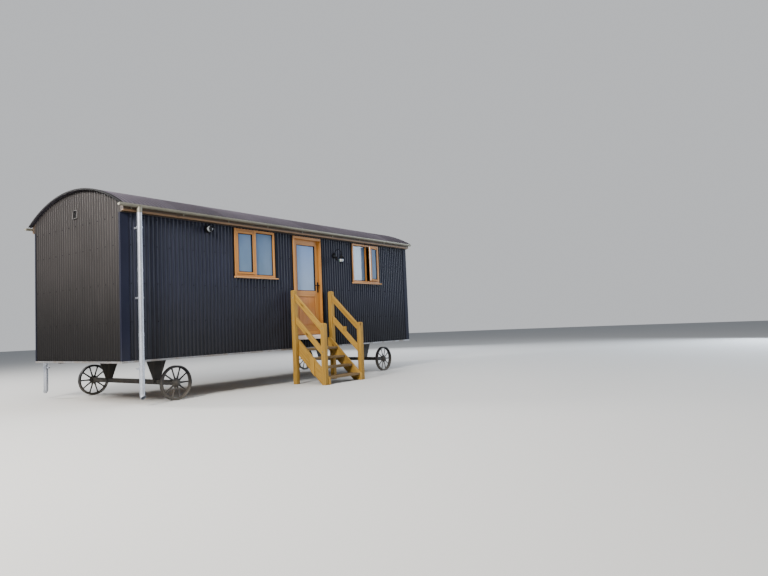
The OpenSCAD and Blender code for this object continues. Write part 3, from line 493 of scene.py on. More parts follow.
for y0 in (floor_low.y, floor_high.y - joist_w):
    floor.board((floor_low.x, y0, floor_low.z), (floor_high.x, y0 + joist_w, joist_top), 0)
floor.make("floor_boards_and_joists", floor_wood, "floor_boards", replaces=["floor"])

# Walls and ceiling
# Framed walls behind the cladding, lined inside with tongued and grooved boards under warm
# white paint. The bowed ceiling is lined the same way, its boards running along the hut.

lining_board_w = 0.095


def lining(name, colour, across):
    """Painted boards: a V-groove every board along one axis, as relief and as a thin dark line."""
    material, shader = new_material(name)
    place = place_in(material.node_tree)
    along = calc("FRACT", calc("DIVIDE", part_of(place, across), lining_board_w))
    line = between(calc("ABSOLUTE", calc("SUBTRACT", along, 0.5)), 0.455, 0.49)
    tinted = mixed(times(noise(place, 0.4), 0.25), colour, (0.55, 0.52, 0.47))
    brushed = noise(scaled(place, (60, 60, 4)), 1.0)
    feed(shader, {"Base Color": mixed(times(line, 0.75), tinted, (0.16, 0.15, 0.13)),
                  "Roughness": times(brushed, 0.15, 0.42)})
    emboss(shader, times(line, -1.0, times(brushed, 0.08)), 0.9, 0.004)
    return material


refinish(lining("side_lining", (0.78, 0.76, 0.71), 0), "front_wall_left", "front_wall_right",
         "front_wall_over_door", "front_wall_under_door", "back_wall")
refinish(lining("end_lining", (0.78, 0.76, 0.71), 1), "left_end_wall", "right_end_wall")
refinish(lining("ceiling_lining", (0.80, 0.79, 0.75), 1), "roof_deck")

# Wall cladding
# Plastic-coated steel sheet with a three-inch corrugation, hung upright in sheets that cover
# thirteen waves and lap over the next, and screwed through the crests with black screws.

wave_pitch = 0.0762
wave_depth = 0.018
sheet_t = 0.0012
sheet_cover = 13 * wave_pitch
sheet_lap = 0.6 * wave_pitch
least_sheet = 0.05
lap_lift = 0.0016
wave_columns = 14
clad_d = 0.0195


def wave(run):
    """Depth behind the crests: half the wave's depth times one less its cosine."""
    return wave_depth * (1 - np.cos(2 * np.pi * run / wave_pitch)) / 2


def sheet_spans(length):
    """Start and end of each sheet along a wall, and how light it is."""
    start = 0.0
    while start < length - least_sheet:
        yield start, min(start + sheet_cover + sheet_lap, length), draw_sheets.uniform(0, 1)
        start += sheet_cover


def lap_at(run, origin):
    """How far a sheet that starts at origin leans out there, so that it lies over the next one."""
    return lap_lift * (run - origin) / sheet_cover


def thin_sheet(rings):
    """Skin over rings that go out along a sheet's front and back along its rear, ends closed in fours."""
    points, quads, _ = loft(rings)
    m = len(rings[0])
    strip = np.arange(m // 2 - 1)
    caps = np.stack([strip, strip + 1, m - 2 - strip, m - 1 - strip], 1)
    return points, np.concatenate([quads, caps[:, ::-1], caps + (len(rings) - 1) * m]), []


def sheet_panel(first, last, foot, head, origin):
    """Upright corrugated sheet from run first to last, between heights foot and head(run)."""
    columns = max(2, math.ceil((last - first) / wave_pitch * wave_columns))
    run = np.linspace(first, last, columns + 1)
    out = np.stack([run, wave(run) - lap_at(run, origin)], 1)
    section = np.concatenate([out, out[::-1] + [0, sheet_t]])
    return thin_sheet(np.stack([np.column_stack([section, np.full(len(section), foot)]),
                                np.column_stack([section, head(section[:, 0])])]))


def level(height):
    """A head at one height all along."""
    return lambda run: np.full(len(run), height)


def clad(length, head, holes, to_world):
    """Lapping sheets over a wall of this length, cut round the holes (run, run, low, high)."""
    stock = Stock()
    for start, end, tone in sheet_spans(length):
        cuts = sorted({start, end, *(c for h in holes for c in h[:2] if start < c < end)})
        for first, last in zip(cuts[:-1], cuts[1:]):
            spans = [(wall_foot, head)]
            for hole in holes:
                if hole[0] < (first + last) / 2 < hole[1]:
                    spans = [(wall_foot, level(hole[2])), (hole[3], head)]
            for low, high in spans:
                points, quads, ends = sheet_panel(first, last, low, high, start)
                stock.add((to_world(points), quads, ends), tone=tone)
    return stock


def screw(stock, at, axis, size=0.0070, washer=0.0115):
    """Six-sided screw head on its washer: two turned rounds of few faces."""
    stock.add(turned([(washer, 0.0), (washer * 0.8, 0.0015)], at, axis, 10))
    stock.add(turned([(size, 0.0012), (size, 0.0052), (size * 0.75, 0.0062)], at, axis, 6))


def screwed_crests(length, first):
    """Runs of the crests that take screws: every third one, the first and last left free."""
    return np.arange(first, int(length / wave_pitch) - first + 1, 3) * wave_pitch


def recolour(material, change):
    """Sets a change of colour between what feeds the shader's base colour and the shader."""
    colour = material.node_tree.nodes["Principled BSDF"].inputs["Base Color"]
    material.node_tree.links.new(change(colour.links[0].from_socket), colour)


def coated(name, colour, **more):
    """Coated sheet: the painted finish, with each sheet's own slight tone from its attribute."""
    material = painted(name, colour, **more)
    tone = node(material.node_tree, "Attribute", attribute_name="tone").outputs["Fac"]
    recolour(material, lambda below: mixed(1.0, below, grey(times(tone, 0.30, 0.85)), "MULTIPLY"))
    return material


def valley_shade_group():
    """Painted shade in the valleys of corrugated sheet: half of one less the cosine of the run, made steeper.
    """
    tree, given, put = new_group("valley_shade", {
        "Colour": (0.1, 0.1, 0.1), "Run": 0.0, "Valley Shade": 0.5, "Valley Shade Colour": (0.010, 0.010, 0.012)}, "Colour")
    valley = times(calc("COSINE", times(given["Run"], 2 * math.pi / wave_pitch)), -0.5, 0.5)
    share = times(between(valley, 0.05, 0.60), given["Valley Shade"])
    feed(put, {"Colour": mixed(share, given["Colour"], given["Valley Shade Colour"])})
    return tree


valley_shade = valley_shade_group()


def valley_shaded(material, axis, crest_at, valley_shade_amount):
    """Puts the painted valley shade into a coat whose waves run along an axis from a crest."""
    made = node(material.node_tree, "Group", node_tree=valley_shade)
    feed(made, {"Run": calc("SUBTRACT", part_of(place_in(material.node_tree), axis), crest_at), "Valley Shade": valley_shade_amount})

    def over(below):
        feed(made, {"Colour": below})
        return made.outputs["Colour"]

    recolour(material, over)


clad_low, clad_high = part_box("front_cladding")
end_low, end_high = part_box("left_end_cladding")
window_low, window_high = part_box("window_frames")
sill_low, sill_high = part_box("window_sills")
door_low, door_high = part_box("door_frame")
wall_foot = clad_low.z
floor_top = floor_high.z
sheet_gap = 0.004
window_a_x = hut_left + 2.207
window_b_x = hut_left + 5.590
window_w = 1.022
openings = [(x0 - sheet_gap - clad_low.x, x1 + sheet_gap - clad_low.x, low - sheet_gap, high + sheet_gap)
            for x0, x1, low, high in ((window_a_x, window_a_x + window_w, sill_low.z, window_high.z),
                                      (window_b_x, window_b_x + window_w, sill_low.z, window_high.z),
                                      (door_low.x, door_high.x, floor_top, door_high.z))]
# Both wall coats turn near-black towards the foot: this is painted shade, not dust.
dark_coat = coated("dark_coat", (0.0104, 0.0119, 0.0245), roughness=0.36, cloud=0.5, runs=0.05, dust=0.7,
                   foot=wall_foot, rise=1.5, dust_colour=(0.0035, 0.0035, 0.0038), bump=0.0002, gloss=0.22)
# The end coat is a lighter, warmer copy of the same navy paint: painted sunlight on the ends.
sunlit_end_coat = coated("sunlit_end_coat", (0.034, 0.030, 0.029), roughness=0.42, cloud=0.35, runs=0.05, dust=0.92,
                  foot=wall_foot, rise=2.3, dust_colour=(0.0035, 0.003, 0.0028), bump=0.0002, gloss=0.16)
# The valleys of both wall coats are darkened as painted shade.
valley_shaded(dark_coat, 0, clad_low.x, 0.25)
valley_shaded(sunlit_end_coat, 1, end_high.y, 0.55)
screw_black = painted("screw_black", (0.008, 0.008, 0.010), roughness=0.55, cloud=0.2, bump=0.0, gloss=0.05)
screw_rows = (0.740, 1.300, 1.900, 2.500, 2.940)
screw_room = 0.03
draw_sheets = np.random.default_rng(5)

side_run = clad_high.x - clad_low.x
end_run = end_high.y - end_low.y
middle_y = (front_y + back_y) / 2
roof_r = 3.000
roof_axis_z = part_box("roof_sheets")[1].z - roof_r
skin_gap = 0.001


def bow(offset, radius):
    """Height of a circle of this radius about the roof axis, at an offset from the middle."""
    return roof_axis_z + np.sqrt(radius ** 2 - offset ** 2)


def bowed_head(run):
    """The end sheets are cut to the roof's bow, just under the valleys of its sheets."""
    return bow(end_high.y - run - middle_y, roof_r - clad_d - skin_gap)


wall_screws = Stock()
for side, corner, run_way, in_way, length, head, holes, coat, slot, first_crest in (
        ("front", (clad_low.x, front_y, 0), (1, 0, 0), (0, 1, 0), side_run, level(clad_high.z), openings,
         dark_coat, "dark_skin", 2),
        ("back", (clad_low.x, back_y, 0), (1, 0, 0), (0, -1, 0), side_run, level(clad_high.z), [],
         dark_coat, "dark_skin", 2),
        ("left_end", (hut_left, end_high.y, 0), (0, -1, 0), (1, 0, 0), end_run, bowed_head, [],
         sunlit_end_coat, "end_skin", 1),
        ("right_end", (hut_right, end_high.y, 0), (0, -1, 0), (-1, 0, 0), end_run, bowed_head, [],
         sunlit_end_coat, "end_skin", 1)):
    run_depth_height = np.array([run_way, in_way, (0, 0, 1)])
    sheets = clad(length, head, holes, lambda points: points @ run_depth_height + corner)
    for row_z in screw_rows:
        for run in screwed_crests(length, first_crest):
            if not any(h[0] - screw_room < run < h[1] + screw_room
                       and h[2] - screw_room < row_z < h[3] + screw_room for h in holes):
                at = np.array([run, -lap_at(run % sheet_cover, 0), row_z]) @ run_depth_height + corner
                screw(wall_screws, at, -np.array(in_way))
    sheets.make(side + "_sheets", coat, slot, replaces=[side + "_cladding"])
wall_screws.make("wall_screws", screw_black, "black_metal")

# Folded trims
# Pressed from the same coated sheet: corner flashings with rolled hems, flat strips round the
# frames, and a pale drip angle along the foot of the sheets.

trim_coat = painted("trim_coat", (0.0110, 0.0125, 0.0240), roughness=0.50, cloud=0.4, runs=0.08, dust=0.15,
                    foot=wall_foot, dust_colour=(0.03, 0.03, 0.03), bump=0.0002, gloss=0.06)
black_trim = painted("black_trim", (0.004, 0.004, 0.005), roughness=0.55, runs=0.05, dust=0.05,
                     foot=wall_foot, dust_colour=(0.03, 0.03, 0.03), bump=0.0, gloss=0.06)
drip_metal = painted("drip_metal", (0.20, 0.20, 0.21), roughness=0.5, cloud=0.8, runs=0.3, dust=0.5,
                     foot=wall_foot - 0.05, rise=0.1, dust_colour=(0.16, 0.13, 0.10), metallic=0.6)
refinish(trim_coat, "corner_trims", "reveal_trims")
refinish(drip_metal, "drip_trims")


def tube_rings(path, radius, count, side, squash=1.0):
    """Circles square to a flat path, the second radius, which lies along side, times squash."""
    path = np.asarray(path, float)
    along = np.gradient(path, axis=0)
    along /= np.linalg.norm(along, axis=1)[:, None]
    binormal = np.broadcast_to(np.array(Vector(side).normalized()), path.shape)
    normal = np.cross(binormal, along)
    normal /= np.linalg.norm(normal, axis=1)[:, None]
    angle = np.arange(count) * 2 * np.pi / count
    radius = np.broadcast_to(radius, len(path))[:, None, None]
    return path[:, None, :] + radius * (np.cos(angle)[None, :, None] * normal[:, None, :]
                                        + squash * np.sin(angle)[None, :, None] * binormal[:, None, :])


def tube(path, radius, count, side=(0, 0, 1), squash=1.0):
    """Round bar along a flat path."""
    return loft(tube_rings(path, radius, count, side, squash))


trim_low, trim_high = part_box("corner_trims")
corner_side_w = 0.140
corner_end_w = 0.040
hem_r = 0.0035
fold_in = 0.002
hems = Stock()
for x_side, corner_x in ((1, trim_low.x), (-1, trim_high.x)):
    for y_side, corner_y in ((1, trim_low.y), (-1, trim_high.y)):
        for in_x, in_y in ((corner_side_w - hem_r, 0), (0, corner_end_w - hem_r), (fold_in, fold_in)):
            at = (corner_x + x_side * in_x, corner_y + y_side * in_y)
            hems.add(tube([(*at, trim_low.z), (*at, trim_high.z)], hem_r, 10, (1, 0, 0)))
hems.make("corner_hems", trim_coat, "dark_skin")

# Roof sheets and verges
# The same corrugated sheet, curved in the rolling mill and laid from eaves to eaves over the
# bowed deck, each sheet lapping the next. Thin black angles, bent to the bow, cap the two ends.

roof_low, roof_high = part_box("roof_sheets")
roof_run = roof_high.x - roof_low.x
bow_half = math.asin((roof_high.y - roof_low.y) / 2 / roof_r)
roof_columns = 12
roof_rows = 28
purlin_lines = (-0.93, -0.60, -0.22, 0.22, 0.60, 0.93)


def bowed(x, radius, half, steps):
    """A section of x and radius swept round the roof axis, at even angles from -half to half."""
    angle = np.linspace(-half, half, steps + 1)[:, None]
    return np.stack([np.broadcast_to(x, (steps + 1, len(x))), middle_y + radius * np.sin(angle),
                     roof_axis_z + radius * np.cos(angle)], -1)


def curved_sheet(first, last):
    """Corrugated sheet swept round the roof axis: radius roof_r less the wave, at even angles."""
    columns = math.ceil((last - first) / wave_pitch * roof_columns)
    run = np.linspace(first, last, columns + 1)
    outer = roof_r - wave(run) + lap_at(run, first)
    run = np.concatenate([run, run[::-1]])
    radius = np.concatenate([outer, outer[::-1] - sheet_t])
    return thin_sheet(bowed(roof_low.x + run, radius, bow_half, roof_rows))


roof_coat = coated("roof_coat", (0.070, 0.063, 0.078), roughness=0.80, cloud=0.5, runs=0.10,
                   dust_colour=(0.16, 0.155, 0.14), bump=0.0002, gloss=0.0)
# The roof's valleys are darkened as painted shade.
valley_shaded(roof_coat, 0, roof_low.x, 0.66)
roof = Stock()
for start, end, tone in sheet_spans(roof_run):
    roof.add(curved_sheet(start, end), tone=tone)
for turn in bow_half * np.array(purlin_lines):
    out = np.array([0, math.sin(turn), math.cos(turn)])
    for run in screwed_crests(roof_run, 1):
        crest = np.array([roof_low.x + run, middle_y, roof_axis_z])
        screw(roof, crest + out * (roof_r + lap_at(run % sheet_cover, 0)), out)
roof.make("curved_roof_sheets", roof_coat, "roof_skin", replaces=["roof_sheets"])

verge_low, verge_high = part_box("verge_trims")
verge_face = 0.026
verge_top_w = 0.045
verge_t = 0.002
verge_lift = 0.0002
verge_half = math.asin((verge_high.y - verge_low.y) / 2 / roof_r) - 0.0004
verge_foot = verge_t - verge_face
section = np.array([(0, verge_foot), (0, verge_t), (verge_top_w, verge_t), (verge_top_w, verge_lift),
                    (verge_t, verge_lift), (verge_t, verge_foot)])
verges = Stock(*(loft(bowed(edge_x + way * section[:, 0], roof_r + section[:, 1], verge_half, 96))
                 for edge_x, way in ((verge_low.x, 1), (verge_high.x, -1))))
verges.make("verge_angles", black_trim, "dark_skin", replaces=["verge_trims"])

# Eaves boards
# Doubled softwood boards under the overhang, butt-jointed end to end and stained dark oak. The
# inner one hangs lower and painted shade makes it nearly black; painted shade from the gutter
# darkens both but for a strip along the foot.


def prism(outline, low, high, axis, bevel=0.0025):
    """An outline, drawn in the two other axes in their order, run from low to high along axis.

    Both ends are drawn in by the bevel: each corner moves in along the mitre of its two sides.
    """
    low, high = sorted((low, high))
    outline = np.asarray(outline, float)
    area = np.sum(outline[:, 0] * np.roll(outline[:, 1], -1) - outline[:, 1] * np.roll(outline[:, 0], -1))
    if area < 0:
        outline = outline[::-1]
    before = outline - np.roll(outline, 1, 0)
    after = np.roll(before, -1, 0)
    before, after = (d / np.linalg.norm(d, axis=1)[:, None] for d in (before, after))
    normal_before, normal_after = (np.stack([-d[:, 1], d[:, 0]], 1) for d in (before, after))
    mitre = (normal_before + normal_after) / (1 + np.sum(normal_before * normal_after, 1))[:, None]
    drawn = outline + bevel * mitre
    u, v = [a for a in range(3) if a != axis]
    rings = np.empty((4, len(outline), 3))
    for ring, (flat, at) in enumerate(((drawn, low), (outline, low + bevel), (outline, high - bevel),
                                       (drawn, high))):
        rings[ring, :, u], rings[ring, :, v], rings[ring, :, axis] = flat[:, 0], flat[:, 1], at
    return loft(rings)


fascia_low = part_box("fascia_boards")[0]
fascia_t = 0.095
fascia_inner_t = 0.045
fascia_step = 0.016
glue_line = 0.0004
end_gap = 0.0015
shade_edge_z = fascia_low.z + 0.030
eaves_wood = wood("eaves_wood", (0.27, 0.165, 0.090), (0.11, 0.060, 0.032), contrast=0.7, knots=0.4)
eaves_at = place_in(eaves_wood.node_tree)
from_middle = calc("ABSOLUTE", calc("SUBTRACT", part_of(eaves_at, 1), middle_y))
inner_face = (back_y - front_y) / 2 + fascia_inner_t
# Painted shade: nearly black on the inner board, and dark on both boards above a strip along the foot.
eaves_painted_shade = calc("MAXIMUM", between(from_middle, inner_face + 0.001, inner_face + 0.004, 0.92, 0.0),
             between(part_of(eaves_at, 2), shade_edge_z, shade_edge_z + 0.012, 0.0, 0.80))
recolour(eaves_wood, lambda below: mixed(eaves_painted_shade, below, (0.020, 0.017, 0.015)))
long_walls = ((-1, front_y), (1, back_y))
eaves = Joinery(seed=23, spread=0.7)
for end_n, near, far, foot in ((4, 0.0, fascia_inner_t - glue_line, fascia_low.z),
                               (3, fascia_inner_t, fascia_t, fascia_low.z + fascia_step)):
    piece_ends = np.linspace(hut_left, hut_right, end_n)
    for y_side, wall_y in long_walls:
        faces = wall_y + y_side * np.array([near, far])
        tops = bow(np.abs(faces - middle_y), roof_r - clad_d)
        outline = [(faces[0], foot), (faces[1], foot), (faces[1], tops[1]), (faces[0], tops[0])]
        for x0, x1 in zip(piece_ends[:-1], piece_ends[1:]):
            eaves.shaped(prism(outline, x0, x1 - end_gap, 0), 0)
eaves.make("eaves_boards", eaves_wood, "stained_board", replaces=["fascia_boards"])

# Gutters and downpipes
# Half-round galvanised steel gutter with a rolled front bead, in lengths joined by collars and
# carried on strap brackets; a round pipe drops from the outlet near the left end to a shoe.


def galvanised(name, base, roughness):
    """Zinc: a mosaic of crystals a centimetre across in slightly different greys, dulled by dirt."""
    material = painted(name, base, roughness=roughness, metallic=0.75, cloud=0.6, runs=0.25, dust=0.2,
                       dust_colour=(0.20, 0.19, 0.16), bump=0.0003)
    tree = material.node_tree
    crystal = node(tree, "TexVoronoi", {"Vector": place_in(tree), "Scale": 90.0}).outputs["Color"]
    tone = times(node(tree, "SeparateColor", {0: crystal}).outputs[0], 0.28, 0.82)
    recolour(material, lambda below: mixed(1.0, below, grey(tone), "MULTIPLY"))
    return material


upwards = (0, 0, 1)
gutter_zinc = galvanised("gutter_zinc", (0.20, 0.19, 0.15), 0.45)
pipe_zinc = galvanised("pipe_zinc", (0.42, 0.45, 0.52), 0.38)
gutter_low, gutter_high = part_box("gutters")
gutter_r = 0.041
gutter_gap = 0.007
gutter_t = 0.002
lip_r = 0.005
rim_drop = 0.012
gutter_z = gutter_high.z - lip_r - rim_drop
gutter_x0, gutter_x1 = gutter_low.x, hut_right + 0.005
cut_edge = 0.0004
stop_t = 0.003
collar_t = 0.0022
collar_half = 0.05
bracket_t = 0.003
bracket_w = 0.025
bracket_in = 0.12
bracket_n = 9
leg_below = 0.060
leg_above = 0.006
leg_screw_up = 0.010
outlet_x = hut_left + 0.238
pipe_r = 0.0385
pipe_sides = 36
funnel_profile = [(gutter_r + 0.0020, -0.008), (gutter_r + 0.0015, -0.022), (pipe_r + 0.003, -0.040),
                  (pipe_r + 0.003, -0.095), (pipe_r - 0.002, -0.095), (pipe_r - 0.002, -0.040),
                  (gutter_r - 0.0040, -0.022), (gutter_r - 0.0035, -0.008)]


def half_round(radius, y, y_side):
    """The lower half of a circle about the middle of the gutter's rim, from its wall side out."""
    half = np.linspace(0, np.pi, 25)
    return np.stack([y - y_side * radius * np.cos(half), gutter_z - radius * np.sin(half)], 1)


def channel(radius, thick, y, y_side, x0, x1):
    """A half-round channel from x0 to x1: out round its lower half circle and back round the inner one."""
    outline = np.concatenate([half_round(radius, y, y_side), half_round(radius - thick, y, y_side)[::-1]])
    return prism(outline, x0, x1, 0, cut_edge)


def gutter_run(stock, y_side, wall_y):
    """One gutter: the channel and bead, joint collars, stop ends, strap brackets and an outlet."""
    fascia_y = wall_y + y_side * fascia_t
    back_edge = wall_y + y_side * (fascia_t + gutter_gap)
    y = wall_y + y_side * (fascia_t + gutter_gap + gutter_r)
    stock.add(channel(gutter_r, gutter_t, y, y_side, gutter_x0, gutter_x1))
    bead_y = y + y_side * (gutter_r - lip_r)
    stock.add(tube([(gutter_x0, bead_y, gutter_z), (gutter_x1, bead_y, gutter_z)], lip_r, 16))
    for end_x in (gutter_x0, gutter_x1 - stop_t):
        stock.add(prism(half_round(gutter_r, y, y_side), end_x, end_x + stop_t, 0, cut_edge))
    for x in np.linspace(gutter_x0, gutter_x1, 4)[1:-1]:
        stock.add(channel(gutter_r + collar_t, collar_t, y, y_side, x - collar_half, x + collar_half))
    for x in np.linspace(hut_left + bracket_in, hut_right - bracket_in, bracket_n):
        stock.add(channel(gutter_r + bracket_t, bracket_t, y, y_side, x, x + bracket_w))
        stock.add(block((x, fascia_y, gutter_z - leg_below),
                        (x + bracket_w, back_edge, gutter_z + leg_above), 2, 0.001))
        leg_screw = (x + bracket_w / 2, back_edge, gutter_z - leg_below + leg_screw_up)
        screw(stock, leg_screw, (0, y_side, 0), 0.004, 0.006)
    stock.add(turned(funnel_profile, (outlet_x, y, gutter_z - gutter_r + 0.022), upwards, 40, True))
    return y


gutters, pipes = Stock(), Stock()
clip_first_z = 0.560
clip_pitch = 1.095
clip_n = 3
clip_h = 0.028
ear_w = 0.014
arm_half = 0.008
shoe_clear = 0.130
shoe_turn = math.radians(60)
collar_zs = (1.10, 2.10)
bend_r = pipe_r + 0.012
bend_z = shoe_clear + bend_r
collar = [(pipe_r, -0.03), (pipe_r + 0.0025, -0.028), (pipe_r + 0.0025, 0.028), (pipe_r, 0.03)]
strap = [(pipe_r - 0.001, 0), (pipe_r + 0.004, 0), (pipe_r + 0.004, clip_h), (pipe_r - 0.001, clip_h)]
for y_side, wall_y in long_walls:
    y = gutter_run(gutters, y_side, wall_y)
    bend = np.linspace(0, shoe_turn, 9)
    heights = np.linspace(gutter_z - gutter_r, bend_z, 12)[:-1]
    path = np.concatenate([np.stack([np.full(11, outlet_x), np.full(11, y), heights], 1),
                           np.stack([np.full(9, outlet_x), y + y_side * bend_r * (1 - np.cos(bend)),
                                     bend_z - bend_r * np.sin(bend)], 1)])
    outside, inside = (tube_rings(path, r, pipe_sides, (1, 0, 0)) for r in (pipe_r, pipe_r - gutter_t))
    pipes.add(loft(np.concatenate([outside, inside[::-1]]), True))
    for collar_z in collar_zs:
        pipes.add(turned(collar, (outlet_x, y, collar_z), upwards, pipe_sides))
    for z in clip_first_z + clip_pitch * np.arange(clip_n):
        pipes.add(turned(strap, (outlet_x, y, z), upwards, pipe_sides, True))
        arm_y = y - y_side * (pipe_r - 0.001)
        pipes.add(block((outlet_x - arm_half, arm_y, z), (outlet_x + arm_half, wall_y, z + clip_h), 1, 0.002))
        for ear in (-1, 1):
            ear_x = outlet_x + ear * (pipe_r + ear_w / 2) - ear_w / 2
            pipes.add(block((ear_x, y - 0.003, z + 0.003), (ear_x + ear_w, y + 0.003, z + 0.022), 0, 0.001))
            screw(pipes, (outlet_x + ear * (pipe_r + 0.008), y + y_side * 0.003, z + 0.012), (0, y_side, 0),
                  0.0035, 0.0045)
gutters.make("gutter_runs", gutter_zinc, "galvanised", replaces=["gutters"])
pipes.make("rain_pipes", pipe_zinc, "galvanised", replaces=["downpipes"])

# Door frame and threshold
# Oak jambs and head, rebated for the leaf and bedded against the cladding, with a small
# chamfer round the opening. Under them lies a wide weathered threshold with a sloping nose.

oak = wood("oak", (0.42, 0.185, 0.040), (0.17, 0.060, 0.009), ring=0.0042, contrast=0.85, knots=0.2,
           roughness=0.42, coat=0.04)
jamb_w = 0.055
rebate_w = 0.040
stop_d = 0.060
arris = 0.006
flashing_lap = 0.032
reveal_w = 0.034
nose = 0.014
filler_in = 0.001
filler_drop = 0.002
door_l, door_r = door_low.x, door_high.x
jamb_y, wall_in_y = door_low.y, door_high.y
stop_y = jamb_y + stop_d
head_z = door_high.z
threshold_low, threshold_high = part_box("door_threshold")
sill_top = threshold_high.z
frame_set = Joinery(seed=31, spread=0.6)
for x0, way in ((door_l, 1), (door_r, -1)):
    outline = [(x0, jamb_y), (x0 + way * (jamb_w - arris), jamb_y), (x0 + way * jamb_w, jamb_y + arris),
               (x0 + way * jamb_w, stop_y), (x0 + way * rebate_w, stop_y), (x0 + way * rebate_w, wall_in_y),
               (x0, wall_in_y)]
    frame_set.shaped(prism(outline, sill_top, head_z - jamb_w, 2), 2)
outline = [(jamb_y, head_z), (jamb_y, head_z - jamb_w + arris), (jamb_y + arris, head_z - jamb_w),
           (stop_y, head_z - jamb_w), (stop_y, head_z - rebate_w), (wall_in_y, head_z - rebate_w),
           (wall_in_y, head_z)]
frame_set.shaped(prism(outline, door_l, door_r, 0), 0)
for x0, way in ((door_l, 1), (door_r, -1)):
    frame_set.board((x0, stop_y + filler_in, head_z - jamb_w - filler_drop),
                    (x0 + way * rebate_w, wall_in_y, head_z - rebate_w), 2, 0.001)
frame_set.make("door_frame_oak", oak, "joinery", replaces=["door_frame"])


def jamb_strips(left_x, cover_x, right_x, frame_y, foot, head):
    """Flat strips beside a frame: one over its right jamb from cover_x on, one left of its left jamb."""
    return (block((cover_x, frame_y - 0.0016, foot), (right_x + 0.001, frame_y - 0.0001, head), 2, 0.0005),
            block((left_x - reveal_w, trim_low.y - 0.001, foot),
                  (left_x - 0.0005, trim_low.y - 0.0001, head), 2, 0.0004))


jamb_flashing = Stock(*jamb_strips(door_l, door_r - flashing_lap, door_r, jamb_y, sill_top, head_z))
jamb_flashing.make("door_jamb_flashing", black_trim, "dark_skin")

pale_wood = wood("pale_weathered_wood", (0.72, 0.61, 0.56), (0.48, 0.38, 0.33), contrast=0.5, roughness=0.65,
                 bump=0.0012)
threshold = Joinery(seed=37)
outline = [(threshold_low.y, threshold_low.z), (threshold_low.y, sill_top - nose),
           (threshold_low.y + 0.008, sill_top - nose * 0.6), (jamb_y, sill_top),
           (threshold_high.y, sill_top), (threshold_high.y, threshold_low.z)]
threshold.shaped(prism(outline, threshold_low.x, threshold_high.x, 0), 0)
threshold.make("door_sill", pale_wood, "threshold", replaces=["door_threshold"])

# Door leaf
# Stiles and rails of oak, tenoned together round a double-glazed light and a raised and
# fielded panel, both held by beads. A weatherboard throws rain off the bottom rail.


def mitred(stock, low, high, profile, y_at, y_way, place=None, inset=0.0):
    """A moulding mitred round a box's face: four lengths whose ends are cut at 45 degrees.

    The profile's first number runs in from the face's edge, itself moved in by the inset, and its
    second forward from y_at. Along a length, each end moves in by the profile's first number.
    """
    profile = np.asarray(profile, float)
    x0, z0, x1, z1 = low[0] + inset, low[2] + inset, high[0] - inset, high[2] - inset
    corners = np.array([(x0, z0), (x1, z0), (x1, z1), (x0, z1)], float)
    for a, b in zip(corners, np.roll(corners, -1, 0)):
        along = (b - a) / np.linalg.norm(b - a)
        inward = np.array([-along[1], along[0]])
        ends = []
        for corner, sign in ((a, 1), (b, -1)):
            flat = corner + profile[:, :1] * inward + sign * profile[:, :1] * along
            ends.append(np.stack([flat[:, 0], y_at + y_way * profile[:, 1], flat[:, 1]], 1))
        part, grain = loft(ends), None
        if isinstance(stock, Joinery):
            grain = grain_of(part[0] - part[0].mean(0), 0 if abs(along[0]) > 0.5 else 2, stock.next_seed())
        stock.add(part, grain, 0.5, place)


def ovolo(width, depth):
    """Bead outline: flat back, a quarter round from its proud outer edge down to its inner edge."""
    bend = np.linspace(0, np.pi / 2, 6)
    curve = np.stack([width * 0.25 + width * 0.75 * np.sin(bend), depth * np.cos(bend) * 0.85], 1)
    return np.concatenate([[(0, 0), (0, depth), (width * 0.25, depth)], curve, [(width, 0)]])


leaf_low, leaf_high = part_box("door_leaf")
glass_low, glass_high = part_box("door_glass")
panel_low, panel_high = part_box("door_panel")
bead = ovolo(0.014, 0.012)
glass_stop = ovolo(0.005, 0.011)
bead_from_face = 0.0125
rail_back = 0.0006
drip_out = 0.034
drip_past = 0.045
leaf = Joinery(seed=41)
for x0, x1 in ((leaf_low.x, glass_low.x), (glass_high.x, leaf_high.x)):
    leaf.board((x0, leaf_low.y, leaf_low.z), (x1, leaf_high.y, leaf_high.z), 2)
for z0, z1 in ((leaf_low.z, panel_low.z), (panel_high.z, glass_low.z), (glass_high.z, leaf_high.z)):
    leaf.board((glass_low.x + rail_back, leaf_low.y + rail_back, z0),
               (glass_high.x - rail_back, leaf_high.y - rail_back, z1), 0, 0.0015)
for low, high, moulding in ((glass_low, glass_high, glass_stop), (panel_low, panel_high, bead)):
    mitred(leaf, low, high, moulding, leaf_low.y + bead_from_face, -1)
    mitred(leaf, low, high, bead, leaf_high.y - bead_from_face, 1)
outline = [(leaf_low.y, leaf_low.z + 0.075), (leaf_low.y - 0.006, leaf_low.z + 0.070),
           (leaf_low.y - drip_out, leaf_low.z + 0.022), (leaf_low.y - drip_out, leaf_low.z + 0.012),
           (leaf_low.y, leaf_low.z + 0.012)]
leaf.shaped(prism(outline, glass_low.x - drip_past, glass_high.x + drip_past, 0), 0)
leaf.make("door_leaf_oak", oak, "joinery", "door", replaces=["door_leaf"])

panel_oak = wood("panel_oak", (0.42, 0.165, 0.036), (0.20, 0.070, 0.013), ring=0.0046, contrast=0.75,
                 tone=0.3, roughness=0.42, coat=0.04)
panel_edge_t = 0.014
field_in = 0.034
field_rise = 0.004
panel_seed = 43
panel_mid = (panel_low.y + panel_high.y) / 2
fielding = ((0.0, panel_edge_t / 2), (field_in, panel_edge_t / 2),
            (field_in + field_rise, (panel_high.y - panel_low.y) / 2))


def panel_ring(drawn, y):
    """The panel's outline drawn in by a distance, at depth y."""
    x0, z0, x1, z1 = panel_low.x + drawn, panel_low.z + drawn, panel_high.x - drawn, panel_high.z - drawn
    return [(x0, y, z0), (x1, y, z0), (x1, y, z1), (x0, y, z1)]


